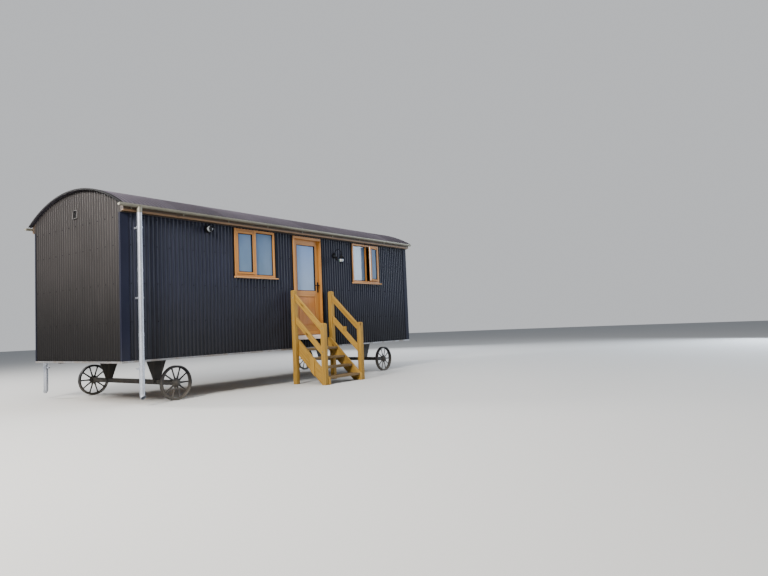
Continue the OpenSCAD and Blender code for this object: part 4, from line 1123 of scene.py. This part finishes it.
panel_part = loft([panel_ring(drawn, panel_mid - half) for drawn, half in fielding[::-1]]
                  + [panel_ring(drawn, panel_mid + half) for drawn, half in fielding])
panel = Stock()
panel.add(panel_part, grain_of(panel_part[0] - panel_part[0].mean(0), 2, panel_seed), 0.45)
panel.make("door_panel_oak", panel_oak, "joinery", "door", replaces=["door_panel"])

# Door glass
# A sealed unit of two four-millimetre panes on a pale spacer bar, bedded on a black rubber
# gasket, with a black strip over its right edge that is painted shadow of the reveal. Both panes
# are coloured blue, darker higher up, as a painted reflection of the sky.


def glass(name, low_reflection, high_reflection):
    """Coated pane: clear enough to see into the room, with a blue painted reflection of the sky that changes
    with height, and a sharp gloss.
    """
    material, shader = new_material(name)
    place = place_in(material.node_tree)
    colour = mixed(between(part_of(place, 2), 1.9, 2.9), low_reflection, high_reflection)
    smear = times(noise(scaled(place, (3, 3, 1.2)), 1.0), 0.3)
    film = times(between(noise(place, 0.03), 0.5, 0.9), 0.05, 0.02)
    feed(shader, {"Base Color": mixed(smear, colour, (0.62, 0.72, 0.86)), "Roughness": film,
                  "Transmission Weight": 0.45, "Specular IOR Level": 0.35, "IOR": 1.5})
    return material


door_glass_with_painted_sky = glass("door_glass_with_painted_sky", (0.40, 0.54, 0.76), (0.28, 0.45, 0.78))
pale_spacer_and_highlight_metal = painted("pale_spacer_and_highlight_metal", (0.62, 0.64, 0.66), metallic=0.6)
gasket_and_shadow_black = painted("black_gasket_and_reveal_shadow", (0.005, 0.005, 0.006), roughness=0.7, bump=0.0, gloss=0.05)
pane_t = 0.004
seal_in = 0.004
spacer = [(0.0, -0.006), (0.0, 0.006), (0.016, 0.006), (0.016, -0.006)]
gasket = [(0.0, 0.0), (0.0, 0.010), (0.004, 0.010), (0.009, 0.003), (0.009, 0.0)]
door_reveal_shadow_w = 0.034


def glazing(panes, bars, seal_and_shadow, low, high, reveal_shadow_w, place=None):
    """Two panes, the spacer between them and the gasket outside, in the box from low to high.

    A black strip of the given width, painted shadow of the reveal, covers the right edge of the outer pane
    and its stop.
    """
    # The black strip is painted shadow of the reveal on the glass's right edge.
    seal_and_shadow.add(block((high[0] - reveal_shadow_w, low[1] - 0.0118, low[2] + seal_in),
                    (high[0] + 0.0005, low[1] - 0.0006, high[2] - seal_in), 2, 0.001), place=place)
    for y0 in (low[1], high[1] - pane_t):
        panes.add(block((low[0], y0, low[2]), (high[0], y0 + pane_t, high[2]), 2, 0.0008), place=place)
    mitred(bars, low, high, spacer, (low[1] + high[1]) / 2, 1, place, seal_in)
    mitred(seal_and_shadow, low, high, gasket, low[1], -1, place, seal_in)


door_panes, door_spacer, door_seal_and_shadow = Stock(), Stock(), Stock()
glazing(door_panes, door_spacer, door_seal_and_shadow, glass_low, glass_high, door_reveal_shadow_w)
door_panes.make("door_panes", door_glass_with_painted_sky, "clear_glass", "door", replaces=["door_glass"])
door_spacer.make("door_spacer_bar", pale_spacer_and_highlight_metal, "pale_metal", "door")
door_seal_and_shadow.make("door_gasket_and_reveal_shadow", gasket_and_shadow_black, "black_metal", "door")

# Door furniture
# Cast black handles: long round-ended backplates screwed to both faces, a lever each side on
# one spindle, and a small keyhole cover below.

black_iron = painted("black_iron", (0.004, 0.004, 0.005), roughness=0.50, cloud=0.5, bump=0.0008, gloss=0.08)
lever_low, lever_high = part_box("door_lever")
plate_low, plate_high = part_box("door_plates")
plate_t = 0.008
plate_corner_r = 0.0195
plate_screw_in = 0.018
keyhole_drop = 0.072
spindle_r = 0.008
grip_n = 19
spindle_x = (plate_low.x + plate_high.x) / 2
spindle_z = (lever_low.z + lever_high.z) / 2
plate_mid = (plate_low.z + plate_high.z) / 2
plates = Stock()
outline = rounded(plate_high.x - plate_low.x, plate_high.z - plate_low.z, plate_corner_r, 8)
cover = rounded(0.014, 0.026, 0.0065, 6) + [spindle_x, spindle_z - keyhole_drop]
for y0, out, face in ((plate_low.y, -1, plate_low.y), (plate_high.y - plate_t, 1, plate_high.y)):
    plates.add(prism(outline + [spindle_x, plate_mid], y0, y0 + plate_t, 1, 0.002))
    for z in (plate_low.z + plate_screw_in, plate_high.z - plate_screw_in):
        head = [(0.0045, 0.0), (0.004, 0.0018), (0.002, 0.0024)]
        plates.add(turned(head, (spindle_x, face, z), (0, out, 0), 12))
    plates.add(prism(cover, face - out * 0.001, face + out * 0.003, 1, 0.001))
plates.make("handle_backplates", black_iron, "black_metal", "door", replaces=["door_plates"])

spindle = [(spindle_r, plate_low.y), (spindle_r, plate_high.y)]
levers = Stock(turned(spindle, (spindle_x, 0, spindle_z), (0, 1, 0), 20))
share = np.linspace(0, 1, grip_n)
grip_x = spindle_x - share * (spindle_x - lever_low.x - 0.004)
grip_z = spindle_z - 0.0035 * np.sin(np.pi * share)
grip_r = 0.0075 + 0.0016 * np.sin(np.pi * share) ** 2 - 0.0045 * np.clip(share - 0.93, 0, 1) / 0.07
for face, out, tip in ((plate_low.y, -1, lever_low.y), (plate_high.y, 1, lever_high.y)):
    reach = abs(tip - face)
    neck = [(0.0165, 0.0), (0.0165, 0.004), (0.011, 0.009), (0.0095, reach - 0.022), (0.0125, reach - 0.014),
            (0.0125, reach - 0.004), (0.009, reach)]
    levers.add(turned(neck, (spindle_x, face, spindle_z), (0, out, 0), 28))
    grip = np.stack([grip_x, np.full(grip_n, face + out * (reach - 0.0125)), grip_z], 1)
    levers.add(tube(grip, grip_r, 16, (0, 1, 0), 0.72))
levers.make("lever_handles", black_iron, "black_metal", "lever", replaces=["door_lever"])

# Window frames and sills
# Oak frames with a mullion: one light of each holds a hung sash and the other a fixed pane.
# Heavy sills with horns carry them, sloped to shed water and grooved under the nose.

window_bar = 0.040
light_w = 0.432
lights_end = 2 * (window_bar + light_w)
light_low_z = window_low.z + window_bar
light_high_z = window_high.z - window_bar
glass_bead = ovolo(0.013, 0.011)
unit_t = 0.020
unit_y = (window_low.y + window_high.y) / 2
joint_in = 0.0005
fixed_reveal_shadow_w = 0.012


def beads(stock, low, high, place=None):
    """Stops outside and beads inside round a glazed unit."""
    mitred(stock, low, high, glass_stop, low[1], -1, place)
    mitred(stock, low, high, glass_bead, high[1], 1, place)


frames = Joinery(seed=53)
window_panes, window_spacers, window_seal_and_shadow, window_flashing = Stock(), Stock(), Stock(), Stock()
for x0, fixed in ((window_a_x, 1), (window_b_x, 0)):
    for first, last in ((0, window_bar), (window_bar + light_w, lights_end - light_w),
                        (lights_end, window_w)):
        frames.board((x0 + first, window_low.y, window_low.z), (x0 + last, window_high.y, window_high.z), 2)
    light_xs = [x0 + window_bar + k * (light_w + window_bar) for k in (0, 1)]
    for z0, z1 in ((window_low.z, light_low_z), (light_high_z, window_high.z)):
        for x in light_xs:
            frames.board((x + joint_in, window_low.y + rail_back, z0),
                         (x + light_w - joint_in, window_high.y - rail_back, z1), 0, 0.0015)
    low = (light_xs[fixed], unit_y - unit_t / 2, light_low_z)
    high = (light_xs[fixed] + light_w, unit_y + unit_t / 2, light_high_z)
    glazing(window_panes, window_spacers, window_seal_and_shadow, low, high, fixed_reveal_shadow_w)
    beads(frames, low, high)
    for strip in jamb_strips(x0, x0 + lights_end + window_bar, x0 + window_w, window_low.y, window_low.z,
                             window_high.z):
        window_flashing.add(strip)
frames.make("window_frames_oak", oak, "joinery", replaces=["window_frames"])
window_flashing.make("window_jamb_flashing", black_trim, "dark_skin")

sill_oak = wood("sill_oak", (0.50, 0.26, 0.10), (0.28, 0.12, 0.04), tone=0.3, coat=0.03)
sills = Joinery(seed=59)
sill_slope = 0.008
sill_horn = 0.020
nose_y, foot_z = sill_low.y, sill_low.z
outline = [(nose_y + 0.003, foot_z), (nose_y, foot_z + 0.003), (nose_y, sill_high.z - sill_slope - 0.002),
           (nose_y + 0.004, sill_high.z - sill_slope), (window_low.y, sill_high.z),
           (sill_high.y, sill_high.z), (sill_high.y, foot_z), (nose_y + 0.019, foot_z),
           (nose_y + 0.017, foot_z + 0.004), (nose_y + 0.013, foot_z + 0.004), (nose_y + 0.011, foot_z)]
for x0 in (window_a_x, window_b_x):
    sills.shaped(prism(outline, x0 - sill_horn, x0 + window_w + sill_horn, 0, 0.002), 0)
sills.make("window_sills_oak", sill_oak, "joinery", replaces=["window_sills"])

# Window sashes
# Oak stiles and rails of one width, with a small weatherboard along the foot. The first window's
# sash is shut; the second's is hung on its right edge and stands open by seventeen degrees.

sash_gap = 0.004
sash_bar = 0.040
sash_d = 0.048
sash_w = light_w - 2 * sash_gap
sash_h = light_high_z - light_low_z - 2 * sash_gap
sash_open = math.radians(17)
sash_reveal_shadow_w = 0.028
sash_spacers_and_edge_highlight = Stock()
sashes = Joinery(seed=61, spread=0.4)


def hang_sash(place):
    """A sash drawn from its lower left corner at the origin, face at zero depth, then placed."""
    for x0 in (0, sash_w - sash_bar):
        sashes.board((x0, 0, 0), (x0 + sash_bar, sash_d, sash_h), 2, place=place)
    for z0 in (0, sash_h - sash_bar):
        sashes.board((sash_bar + joint_in, rail_back, z0),
                     (sash_w - sash_bar - joint_in, sash_d - rail_back, z0 + sash_bar), 0, 0.0015, place)
    sashes.board((0.004, -0.010, 0.004), (sash_w - 0.004, 0.001, 0.026), 0, place=place)
    low = (sash_bar, (sash_d - unit_t) / 2, sash_bar)
    high = (sash_w - sash_bar, (sash_d + unit_t) / 2, sash_h - sash_bar)
    glazing(window_panes, sash_spacers_and_edge_highlight, window_seal_and_shadow, low, high, sash_reveal_shadow_w, place)
    # A pale strip on the sash's free edge is a painted highlight of its sunlit edge.
    sash_spacers_and_edge_highlight.add(block((-0.0016, 0.016, 0.010), (0.0002, 0.030, sash_h - 0.010), 2, 0.0004), place=place)
    beads(sashes, low, high, place)


sash_z = light_low_z + sash_gap
hinge_x = window_b_x + lights_end - sash_gap
hang_sash(Matrix.Translation((window_a_x + window_bar + sash_gap, window_low.y, sash_z)))
hang_sash(Matrix.Translation((hinge_x, window_low.y, sash_z)) @ Matrix.Rotation(sash_open, 4, "Z")
          @ Matrix.Translation((-sash_w, 0, 0)))
sashes.make("sashes_oak", oak, "joinery", replaces=["window_sashes"])
window_glass_with_painted_sky = glass("window_glass_with_painted_sky", (0.15, 0.25, 0.38), (0.11, 0.21, 0.38))
window_panes.make("window_panes", window_glass_with_painted_sky, "clear_glass", replaces=["window_glass"])
window_spacers.make("window_spacer_bars", pale_spacer_and_highlight_metal, "pale_metal")
sash_spacers_and_edge_highlight.make("sash_spacer_bars_and_edge_highlight", pale_spacer_and_highlight_metal, "pale_metal")
window_seal_and_shadow.make("window_gaskets_and_reveal_shadow", gasket_and_shadow_black, "black_metal")

# Steps
# Pressure-treated softwood: square posts with rounded tops, two cut stringers, open treads
# screwed between them, and top and middle rails held between the posts by coach bolts.

post_low, post_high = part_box("step_posts")
post_s = 0.095
post_round = 0.026
post_back = 0.052
post_front = 0.906
post_above_front = 0.027
post_above_rear = 0.080
rail_t = 0.042
rail_h = 0.103
rail_top_up = 0.922
rail_mid_up = 0.474
stringer_t = 0.045
stringer_h = 0.228
tread_n = 4
tread_going = 0.190
tread_d = 0.222
tread_t = 0.045
tread_gap_half = 0.003
nosing_front = 0.892
tread_first_z = 0.150
tread_rise = (floor_top - tread_first_z) / tread_n
step_slope = tread_rise / tread_going
step_pitch = math.atan(step_slope)
pine = wood("treated_pine", (0.34, 0.195, 0.034), (0.13, 0.066, 0.010), ring=0.0055, contrast=0.95,
            knots=0.95, tone=0.55, roughness=0.62, bump=0.0012)
# The treads take a much darker copy of the pine: partly dirt, partly painted shade.
tread_pine = wood("tread_pine", (0.145, 0.095, 0.042), (0.07, 0.045, 0.020), ring=0.0055, contrast=0.75,
                  knots=0.7, tone=0.35, roughness=0.68, bump=0.0012)


def nosing_z(out):
    """Height of the nosing line at a distance in front of the cladding."""
    return tread_first_z + (nosing_front - out) * step_slope


def rounded_post(x, y, height):
    """Square post whose four edges are eased and whose top swells in like a cushion.

    The section is a rounded square; near the top its half-width shrinks along a quarter ellipse.
    """
    bend = np.linspace(0, np.pi / 2, 9)[1:]
    foot_of_round = height - post_round
    rise = np.concatenate([[0.0, 0.004, foot_of_round], foot_of_round + post_round * np.sin(bend)])
    shrink = np.concatenate([[0.96, 1.0, 1.0], 1 - 0.62 * (1 - np.cos(bend))])
    section = rounded(post_s, post_s, 0.008, 3)
    return loft(np.stack([x + shrink[:, None] * section[:, 0], y + shrink[:, None] * section[:, 1],
                          np.broadcast_to(rise[:, None], (len(rise), len(section)))], -1))


front_out = post_front - post_s / 2
rear_out = post_back + post_s / 2
front_rail = post_front - post_s
rear_rail = post_back + post_s
front_height = nosing_z(front_rail) + rail_top_up + post_above_front
rear_height = nosing_z(rear_rail) + rail_top_up + post_above_rear
post_xs = (post_low.x + post_s / 2, post_high.x - post_s / 2)
posts = Joinery(seed=67)
for post_x in post_xs:
    for out, height in ((front_out, front_height), (rear_out, rear_height)):
        part = rounded_post(post_x, front_y - out, height)
        grain = grain_of(part[0] - [post_x, front_y - out, 0], 2, posts.next_seed(), 0.03)
        posts.add(part, grain, 0.5 + posts.draw.uniform(-0.25, 0.25))
posts.make("step_posts_pine", pine, "step_timber", replaces=["step_posts"], crease=50)


def on_steps(outline):
    """An outline of (distance out, height) as depth and height in the frame."""
    return np.asarray(outline, float) * [-1, 1] + [front_y, 0]


def sloped(stock, outline, x0, x1, bevel=0.004):
    """A board cut to an outline of (distance out, height), with its grain down the slope.

    The grain axis leans with the stairs, so the outline is turned level by the pitch to read it.
    """
    part = prism(on_steps(outline), x0, x1, 0, bevel)
    points = part[0] - part[0].mean(0)
    along = -points[:, 1] * math.cos(step_pitch) + -points[:, 2] * math.sin(step_pitch)
    across = -points[:, 1] * math.sin(step_pitch) + points[:, 2] * math.cos(step_pitch)
    draw = stock.draw
    shift = [draw.uniform(0, 40), draw.uniform(-0.08, 0.08), 0.05 + draw.uniform(0, 0.05)]
    grain = np.stack([along, across, points[:, 0]], 1) + shift
    stock.add(part, grain, 0.5 + draw.uniform(-0.25, 0.25))


def strip_down_slope(near, far, up, drop):
    """Outline between two distances out, from a height over the nosing line down by the drop."""
    tops = [(out, nosing_z(out) + up) for out in (near, far)]
    return tops + [(out, z - drop) for out, z in tops[::-1]]


stringer_drop = stringer_h / math.cos(step_pitch)
stringer_top = floor_top + 0.012
level_out = nosing_front - (stringer_top - tread_first_z) / step_slope
foot_out = nosing_front + (tread_first_z - stringer_drop) / step_slope
toe = post_front + 0.014
stringer_outline = [(post_back, stringer_top), (level_out, stringer_top), (toe, nosing_z(toe)), (toe, 0.0),
                    (foot_out, 0.0), (post_back, nosing_z(post_back) - stringer_drop)]
inner_left = post_xs[0] + post_s / 2
inner_right = post_xs[1] - post_s / 2
cleat_near, cleat_far, cleat_t = 0.452, 0.556, 0.020
stringers = Joinery(seed=71)
sloped(stringers, stringer_outline, inner_left, inner_left + stringer_t)
sloped(stringers, stringer_outline, inner_right - stringer_t, inner_right)
cleat = on_steps(strip_down_slope(cleat_near, cleat_far, 0.0, stringer_drop))
stringers.shaped(prism(cleat, inner_left - cleat_t, inner_left, 0), 2)
stringers.make("step_stringers_pine", pine, "step_timber", replaces=["step_stringers"])

treads = Joinery(seed=73)
fixings = Stock()
half = tread_d / 2
for k in range(tread_n):
    tread_y = front_y - (nosing_front - k * tread_going)
    top = tread_first_z + k * tread_rise
    for y0 in (tread_y, tread_y + half + tread_gap_half):
        treads.board((inner_left + stringer_t, y0, top - tread_t),
                     (inner_right - stringer_t, y0 + half - tread_gap_half, top), 0, 0.005)
    for y_in in (0.035, 0.175):
        for side_x, way in ((inner_left, -1), (inner_right, 1)):
            screw(fixings, (side_x, tread_y + y_in, top - tread_t / 2), (way, 0, 0), 0.005, 0.007)
treads.make("step_treads_pine", tread_pine, "step_timber", replaces=["step_treads"])

rails = Joinery(seed=79)
rail_drop = rail_h / math.cos(step_pitch)
for post_x in post_xs:
    for up in (rail_top_up, rail_mid_up):
        outline = strip_down_slope(rear_rail, front_rail, up, rail_drop)
        sloped(rails, outline, post_x - rail_t / 2, post_x + rail_t / 2, 0.005)
block_in, block_s, block_sink = 0.430, 0.062, 0.012
block_z = nosing_z(block_in) + rail_mid_up
block_half = rail_t / 2 + 0.001
rails.board((post_xs[1] - block_half, front_y - block_in - block_s, block_z - block_s - block_sink),
            (post_xs[1] + block_half, front_y - block_in, block_z + block_s - 2 * block_sink), 2, 0.004)
rails.make("step_rails_pine", pine, "step_timber", replaces=["step_rails"])

bolt_head = [(0.012, -0.001), (0.012, 0.001), (0.009, 0.004), (0.004, 0.0055)]
for post_x, way in zip(post_xs, (-1, 1)):
    for out, rail_end in ((front_out, front_rail), (rear_out, rear_rail)):
        for up in (rail_top_up, rail_mid_up):
            at = (post_x + way * post_s / 2, front_y - out, nosing_z(rail_end) + up - rail_drop / 2)
            fixings.add(turned(bolt_head, at, (way, 0, 0), 16))
fixings.make("step_fixings", gutter_zinc, "galvanised")

# Wall lantern
# Black cast lantern: round back plate, swan-neck arm, stepped shade, and an opal glass jar in a
# cage of four bars and two hoops. A daylight sensor stands out on a short stalk under the plate.

front = (0, -1, 0)
jar_low, jar_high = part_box("lantern_glass")
lantern_x = (jar_low.x + jar_high.x) / 2
jar_y = (jar_low.y + jar_high.y) / 2
jar_r = (jar_high.x - jar_low.x) / 2
jar_h = jar_high.z - jar_low.z
plate_up = 0.150
arm_up = 0.030
stalk_drop = 0.036
plate_at = jar_low.z + plate_up
arm_z = plate_at + arm_up
arm_r = 0.008
cage_r = 0.0035
arc_in = 0.022
arc_r = (front_y - jar_y - arc_in) / 2
arc_y = front_y - arc_in - arc_r
shade_h = arm_z - jar_high.z
sensor_out, sensor_r, sensor_h = 0.085, 0.020, 0.090
stalk_z = plate_at - stalk_drop
half_turn = np.linspace(0, np.pi, 33)
arm = np.stack([np.full(33, lantern_x), arc_y + arc_r * np.cos(half_turn),
                arm_z + arc_r * np.sin(half_turn)], 1)
back_plate = [(0.061, 0.0), (0.061, 0.008), (0.057, 0.012), (0.048, 0.014), (0.042, 0.018), (0.010, 0.018)]
boss = [(0.014, 0.006), (0.014, 0.022), (0.016, 0.024), (0.016, 0.030), (0.012, 0.036)]
arm_ring = [(0.009, -0.006), (0.0125, -0.003), (0.0125, 0.003), (0.009, 0.006)]
shade = [(jar_r + 0.014, -0.026), (jar_r + 0.0195, -0.024), (jar_r + 0.0185, -0.008), (jar_r + 0.010, 0.012),
         (jar_r - 0.006, 0.028), (0.022, 0.040), (0.018, 0.050), (0.014, 0.052), (0.014, shade_h)]
foot = [(0.012, -0.016), (0.030, -0.014), (jar_r + 0.010, -0.010), (jar_r + 0.013, -0.006),
        (jar_r + 0.013, -0.002), (jar_r + 0.008, 0.002)]
hoop = [(jar_r + 0.0065, -0.003), (jar_r + 0.0105, -0.003), (jar_r + 0.0105, 0.003), (jar_r + 0.0065, 0.003)]
stalk = [(0.009, 0.008), (0.009, sensor_out)]
sensor = [(0.012, 0.0), (sensor_r - 0.003, 0.002), (sensor_r, 0.006), (sensor_r, sensor_h - 0.014),
          (sensor_r - 0.004, sensor_h - 0.004), (0.010, sensor_h)]
lantern = Stock(turned(back_plate, (lantern_x, front_y, plate_at), front, 40),
                turned(boss, (lantern_x, front_y, arm_z), front, 24),
                tube(arm, arm_r, 14, (1, 0, 0)))
for ring_turn in (0.0, np.pi):
    at = (lantern_x, arc_y + arc_r * math.cos(ring_turn), arm_z)
    lantern.add(turned(arm_ring, at, upwards, 20))
lantern.add(turned(shade, (lantern_x, jar_y, jar_high.z), upwards, 40))
lantern.add(turned(foot, (lantern_x, jar_y, jar_low.z), upwards, 40))
share = np.linspace(0, 1, 9)
reach = jar_r + 0.005 + 0.004 * np.sin(np.pi * share)
for turn in (np.arange(4) + 0.5) * np.pi / 2:
    bar = np.stack([lantern_x + reach * math.cos(turn), jar_y + reach * math.sin(turn),
                    jar_low.z - 0.006 + share * (jar_h + 0.010)], 1)
    lantern.add(tube(bar, cage_r, 8, (-math.sin(turn), math.cos(turn), 0)))
for hoop_at in (0.35, 0.68):
    lantern.add(turned(hoop, (lantern_x, jar_y, jar_low.z + hoop_at * jar_h), upwards, 40, True))
lantern.add(turned(stalk, (lantern_x, front_y, stalk_z), front, 20))
lantern.add(turned(sensor, (lantern_x, front_y - sensor_out, stalk_z + 0.0135 - sensor_h), upwards, 28))
lantern.make("swan_neck_lantern", black_iron, "black_metal", replaces=["lantern"])

opal, opal_shader = new_material("opal_glass")
opal_cloud = noise(place_in(opal.node_tree), 0.02)
feed(opal_shader, {"Base Color": mixed(opal_cloud, (0.86, 0.86, 0.88), (0.74, 0.76, 0.80)),
                   "Roughness": times(opal_cloud, 0.15, 0.12), "Subsurface Weight": 0.3})
jar_profile = [(0.014, 0.002), (jar_r - 0.010, 0.003), (jar_r - 0.003, 0.010), (jar_r, 0.024),
               (jar_r, jar_h - 0.018), (jar_r - 0.006, jar_h - 0.004), (jar_r - 0.012, jar_h)]
jar = Stock(turned(jar_profile, (lantern_x, jar_y, jar_low.z), upwards, 36))
jar.make("lantern_jar", opal, "lamp_glass", replaces=["lantern_glass"])

# Eaves lamp
# Round spot lamp under the eaves: a deep black cast base, a brushed barrel standing out of it
# and a black front that holds the lens.

lamp_low, lamp_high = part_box("eaves_lamp")
lamp_at = ((lamp_low.x + lamp_high.x) / 2, front_y, (lamp_low.z + lamp_high.z) / 2)
lamp_r = 0.065
lamp_d = 0.112
lamp_base_d = 0.055
barrel_r = lamp_r - 0.015
rim = [(lamp_r - 0.004, 0.0), (lamp_r, 0.003), (lamp_r, lamp_base_d - 0.008),
       (lamp_r - 0.003, lamp_base_d - 0.002), (lamp_r - 0.007, lamp_base_d), (barrel_r + 0.002, lamp_base_d),
       (barrel_r, lamp_base_d - 0.003)]
front_ring = [(barrel_r - 0.001, lamp_d - 0.010), (barrel_r, lamp_d - 0.008), (barrel_r, lamp_d - 0.003),
              (barrel_r - 0.004, lamp_d), (barrel_r - 0.010, lamp_d), (barrel_r - 0.012, lamp_d - 0.008),
              (0.010, lamp_d - 0.009)]
screw_in = lamp_r - 0.008
spot_base = Stock(turned(rim, lamp_at, front, 48))
for turn in np.arange(4) * np.pi / 2 + 0.5:
    at = (lamp_at[0] + screw_in * math.cos(turn), front_y - lamp_base_d,
          lamp_at[2] + screw_in * math.sin(turn))
    screw(spot_base, at, front, 0.003, 0.0045)
spot_base.add(turned(front_ring, lamp_at, front, 48))
spot_base.make("spot_lamp_base", black_iron, "black_metal", replaces=["eaves_lamp"])
barrel_metal = painted("barrel_metal", (0.34, 0.37, 0.39), roughness=0.35, metallic=0.3)
barrel = Stock(turned([(barrel_r, lamp_base_d - 0.004), (barrel_r, lamp_d - 0.0095)], lamp_at, front, 48))
barrel.make("spot_lamp_barrel", barrel_metal, "pale_metal")
lens_glass = painted("lens_glass", (0.010, 0.011, 0.013), roughness=0.10, bump=0.0)
bulge = np.linspace(0.02, np.pi / 2, 10)[::-1]
lens_profile = np.stack([(barrel_r - 0.0125) * np.sin(bulge), lamp_d - 0.0085 + 0.008 * np.cos(bulge)], 1)
lens = Stock(turned(lens_profile, lamp_at, front, 40))
lens.make("spot_lamp_lens", lens_glass, "lamp_glass")

# End vent
# Louvred wall vent high on the left end: a grey pressed frame, with black blades and a black
# back plate inside it.

vent_metal = painted("vent_metal", (0.075, 0.070, 0.070), cloud=0.5, runs=0.1, dust=0.1, bump=0.0002)
vent_low, vent_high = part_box("end_vent")
vent_rim = 0.006
vent_d = vent_high.x - vent_low.x
vent_profile = [(0.0, 0.0), (0.0, vent_d - 0.002), (0.002, vent_d), (vent_rim - 0.0015, vent_d),
                (vent_rim, vent_d - 0.002), (vent_rim, 0.0)]
to_left_end = Matrix(((0, 1, 0, vent_high.x), (1, 0, 0, 0), (0, 0, 1, 0), (0, 0, 0, 1)))
vent = Stock()
mitred(vent, (vent_low.y, 0, vent_low.z), (vent_high.y, 0, vent_high.z), vent_profile, 0.0, -1, to_left_end)
vent.make("vent_frame", vent_metal, "black_metal", replaces=["end_vent"])
blade_n = 5
blade_pitch = (vent_high.z - vent_low.z - 2 * vent_rim) / blade_n
blade_rise = 0.014
blade_t = 0.003
blade_front, blade_back = vent_low.x + 0.001, vent_high.x - 0.004
blades = Stock(block((vent_high.x - 0.005, vent_low.y + vent_rim, vent_low.z + vent_rim),
                     (vent_high.x - 0.001, vent_high.y - vent_rim, vent_high.z - vent_rim), 1, 0.001))
for k in range(blade_n):
    z0 = vent_low.z + vent_rim + k * blade_pitch + 0.004
    outline = [(blade_front, z0), (blade_back, z0 + blade_rise), (blade_back, z0 + blade_rise + blade_t),
               (blade_front, z0 + blade_t)]
    blades.add(prism(outline, vent_low.y + 0.008, vent_high.y - 0.008, 1, 0.0008))
blades.make("vent_blades", black_iron, "black_metal")

# Studio
# A pale round floor, a fill sky with a pale backdrop that only the camera sees, and five soft
# square lights: warm from the left and the back, nearly white from above, cooler from the far
# side and the right. The camera stands where the photograph was taken.

floor_reach = 60.0
round_floor = np.linspace(0, 2 * np.pi, 65)[:-1]
stage_points = np.stack([floor_reach * np.cos(round_floor), floor_reach * np.sin(round_floor),
                         np.full(64, -0.0005)], 1)
stage_paint, stage_shader = new_material("studio_floor")
feed(stage_shader, {"Base Color": (0.50, 0.50, 0.49), "Roughness": 0.9})
stage_mesh = bpy.data.meshes.new("studio_floor")
stage_mesh.from_pydata(stage_points.tolist(), [], [list(range(64))])
stage_mesh.materials.append(stage_paint)
stage_floor = bpy.data.objects.new("studio_floor", stage_mesh)
bpy.context.scene.collection.objects.link(stage_floor)

world = bpy.data.worlds.new("studio")
bpy.context.scene.world = world
world.use_nodes = True
sky = world.node_tree
fill_sky = sky.nodes["Background"]
feed(fill_sky, {"Color": (0.84, 0.90, 1.0), "Strength": 0.40})
backdrop = node(sky, "Background", {"Color": (0.88, 0.90, 0.93), "Strength": 0.72})
seen = node(sky, "LightPath").outputs["Is Camera Ray"]
both = node(sky, "MixShader", {0: seen, 1: fill_sky.outputs[0], 2: backdrop.outputs[0]})
feed(sky.nodes["World Output"], {"Surface": both.outputs[0]})

for name, at, target, size, power, colour in (
        ("key", (-13.0, -5.0, 8.0), (0, 0, 1.5), 3.0, 3600, (1.0, 0.95, 0.88)),
        ("overhead", (-1.0, -3.0, 12.0), (0, 0, 1.5), 12.0, 1400, (1.0, 0.99, 0.98)),
        ("far_side", (16.0, -10.0, 4.5), (3.0, -1.0, 2.0), 8.0, 2100, (0.78, 0.88, 1.0)),
        ("right_fill", (13.0, 6.0, 6.0), (3.0, 0, 2.0), 6.0, 900, (0.92, 0.95, 1.0)),
        ("back", (-8.5, 10.0, 8.0), (-1.0, 0, 3.0), 3.0, 2200, (1.0, 0.97, 0.94))):
    lamp = bpy.data.lights.new(name, "AREA")
    lamp.size, lamp.energy, lamp.color = size, power, colour
    soft_light = bpy.data.objects.new(name, lamp)
    soft_light.location = at
    soft_light.rotation_euler = (Vector(target) - Vector(at)).to_track_quat("-Z", "Y").to_euler()
    bpy.context.scene.collection.objects.link(soft_light)

focal_px = 604.41
frame_px = 768.0
sensor_mm = 36.0
yaw, tilt, roll = 0.9381, 0.061, -0.0414
camera_at = Vector((-5.0407 + hut_left, -8.6653 + front_y, 1.0942))
look = Vector((math.sin(yaw) * math.cos(tilt), math.cos(yaw) * math.cos(tilt), math.sin(tilt)))
level_right = Vector((math.cos(yaw), -math.sin(yaw), 0))
level_up = level_right.cross(look)
right = level_right * math.cos(roll) + level_up * math.sin(roll)
up = -level_right * math.sin(roll) + level_up * math.cos(roll)
camera_data = bpy.data.cameras.new("camera")
camera_data.sensor_width = sensor_mm
camera_data.lens = sensor_mm * focal_px / frame_px
camera = bpy.data.objects.new("camera", camera_data)
camera.matrix_world = Matrix.Translation(camera_at) @ Matrix((right, up, -look)).transposed().to_4x4()
bpy.context.scene.collection.objects.link(camera)
bpy.context.scene.camera = camera
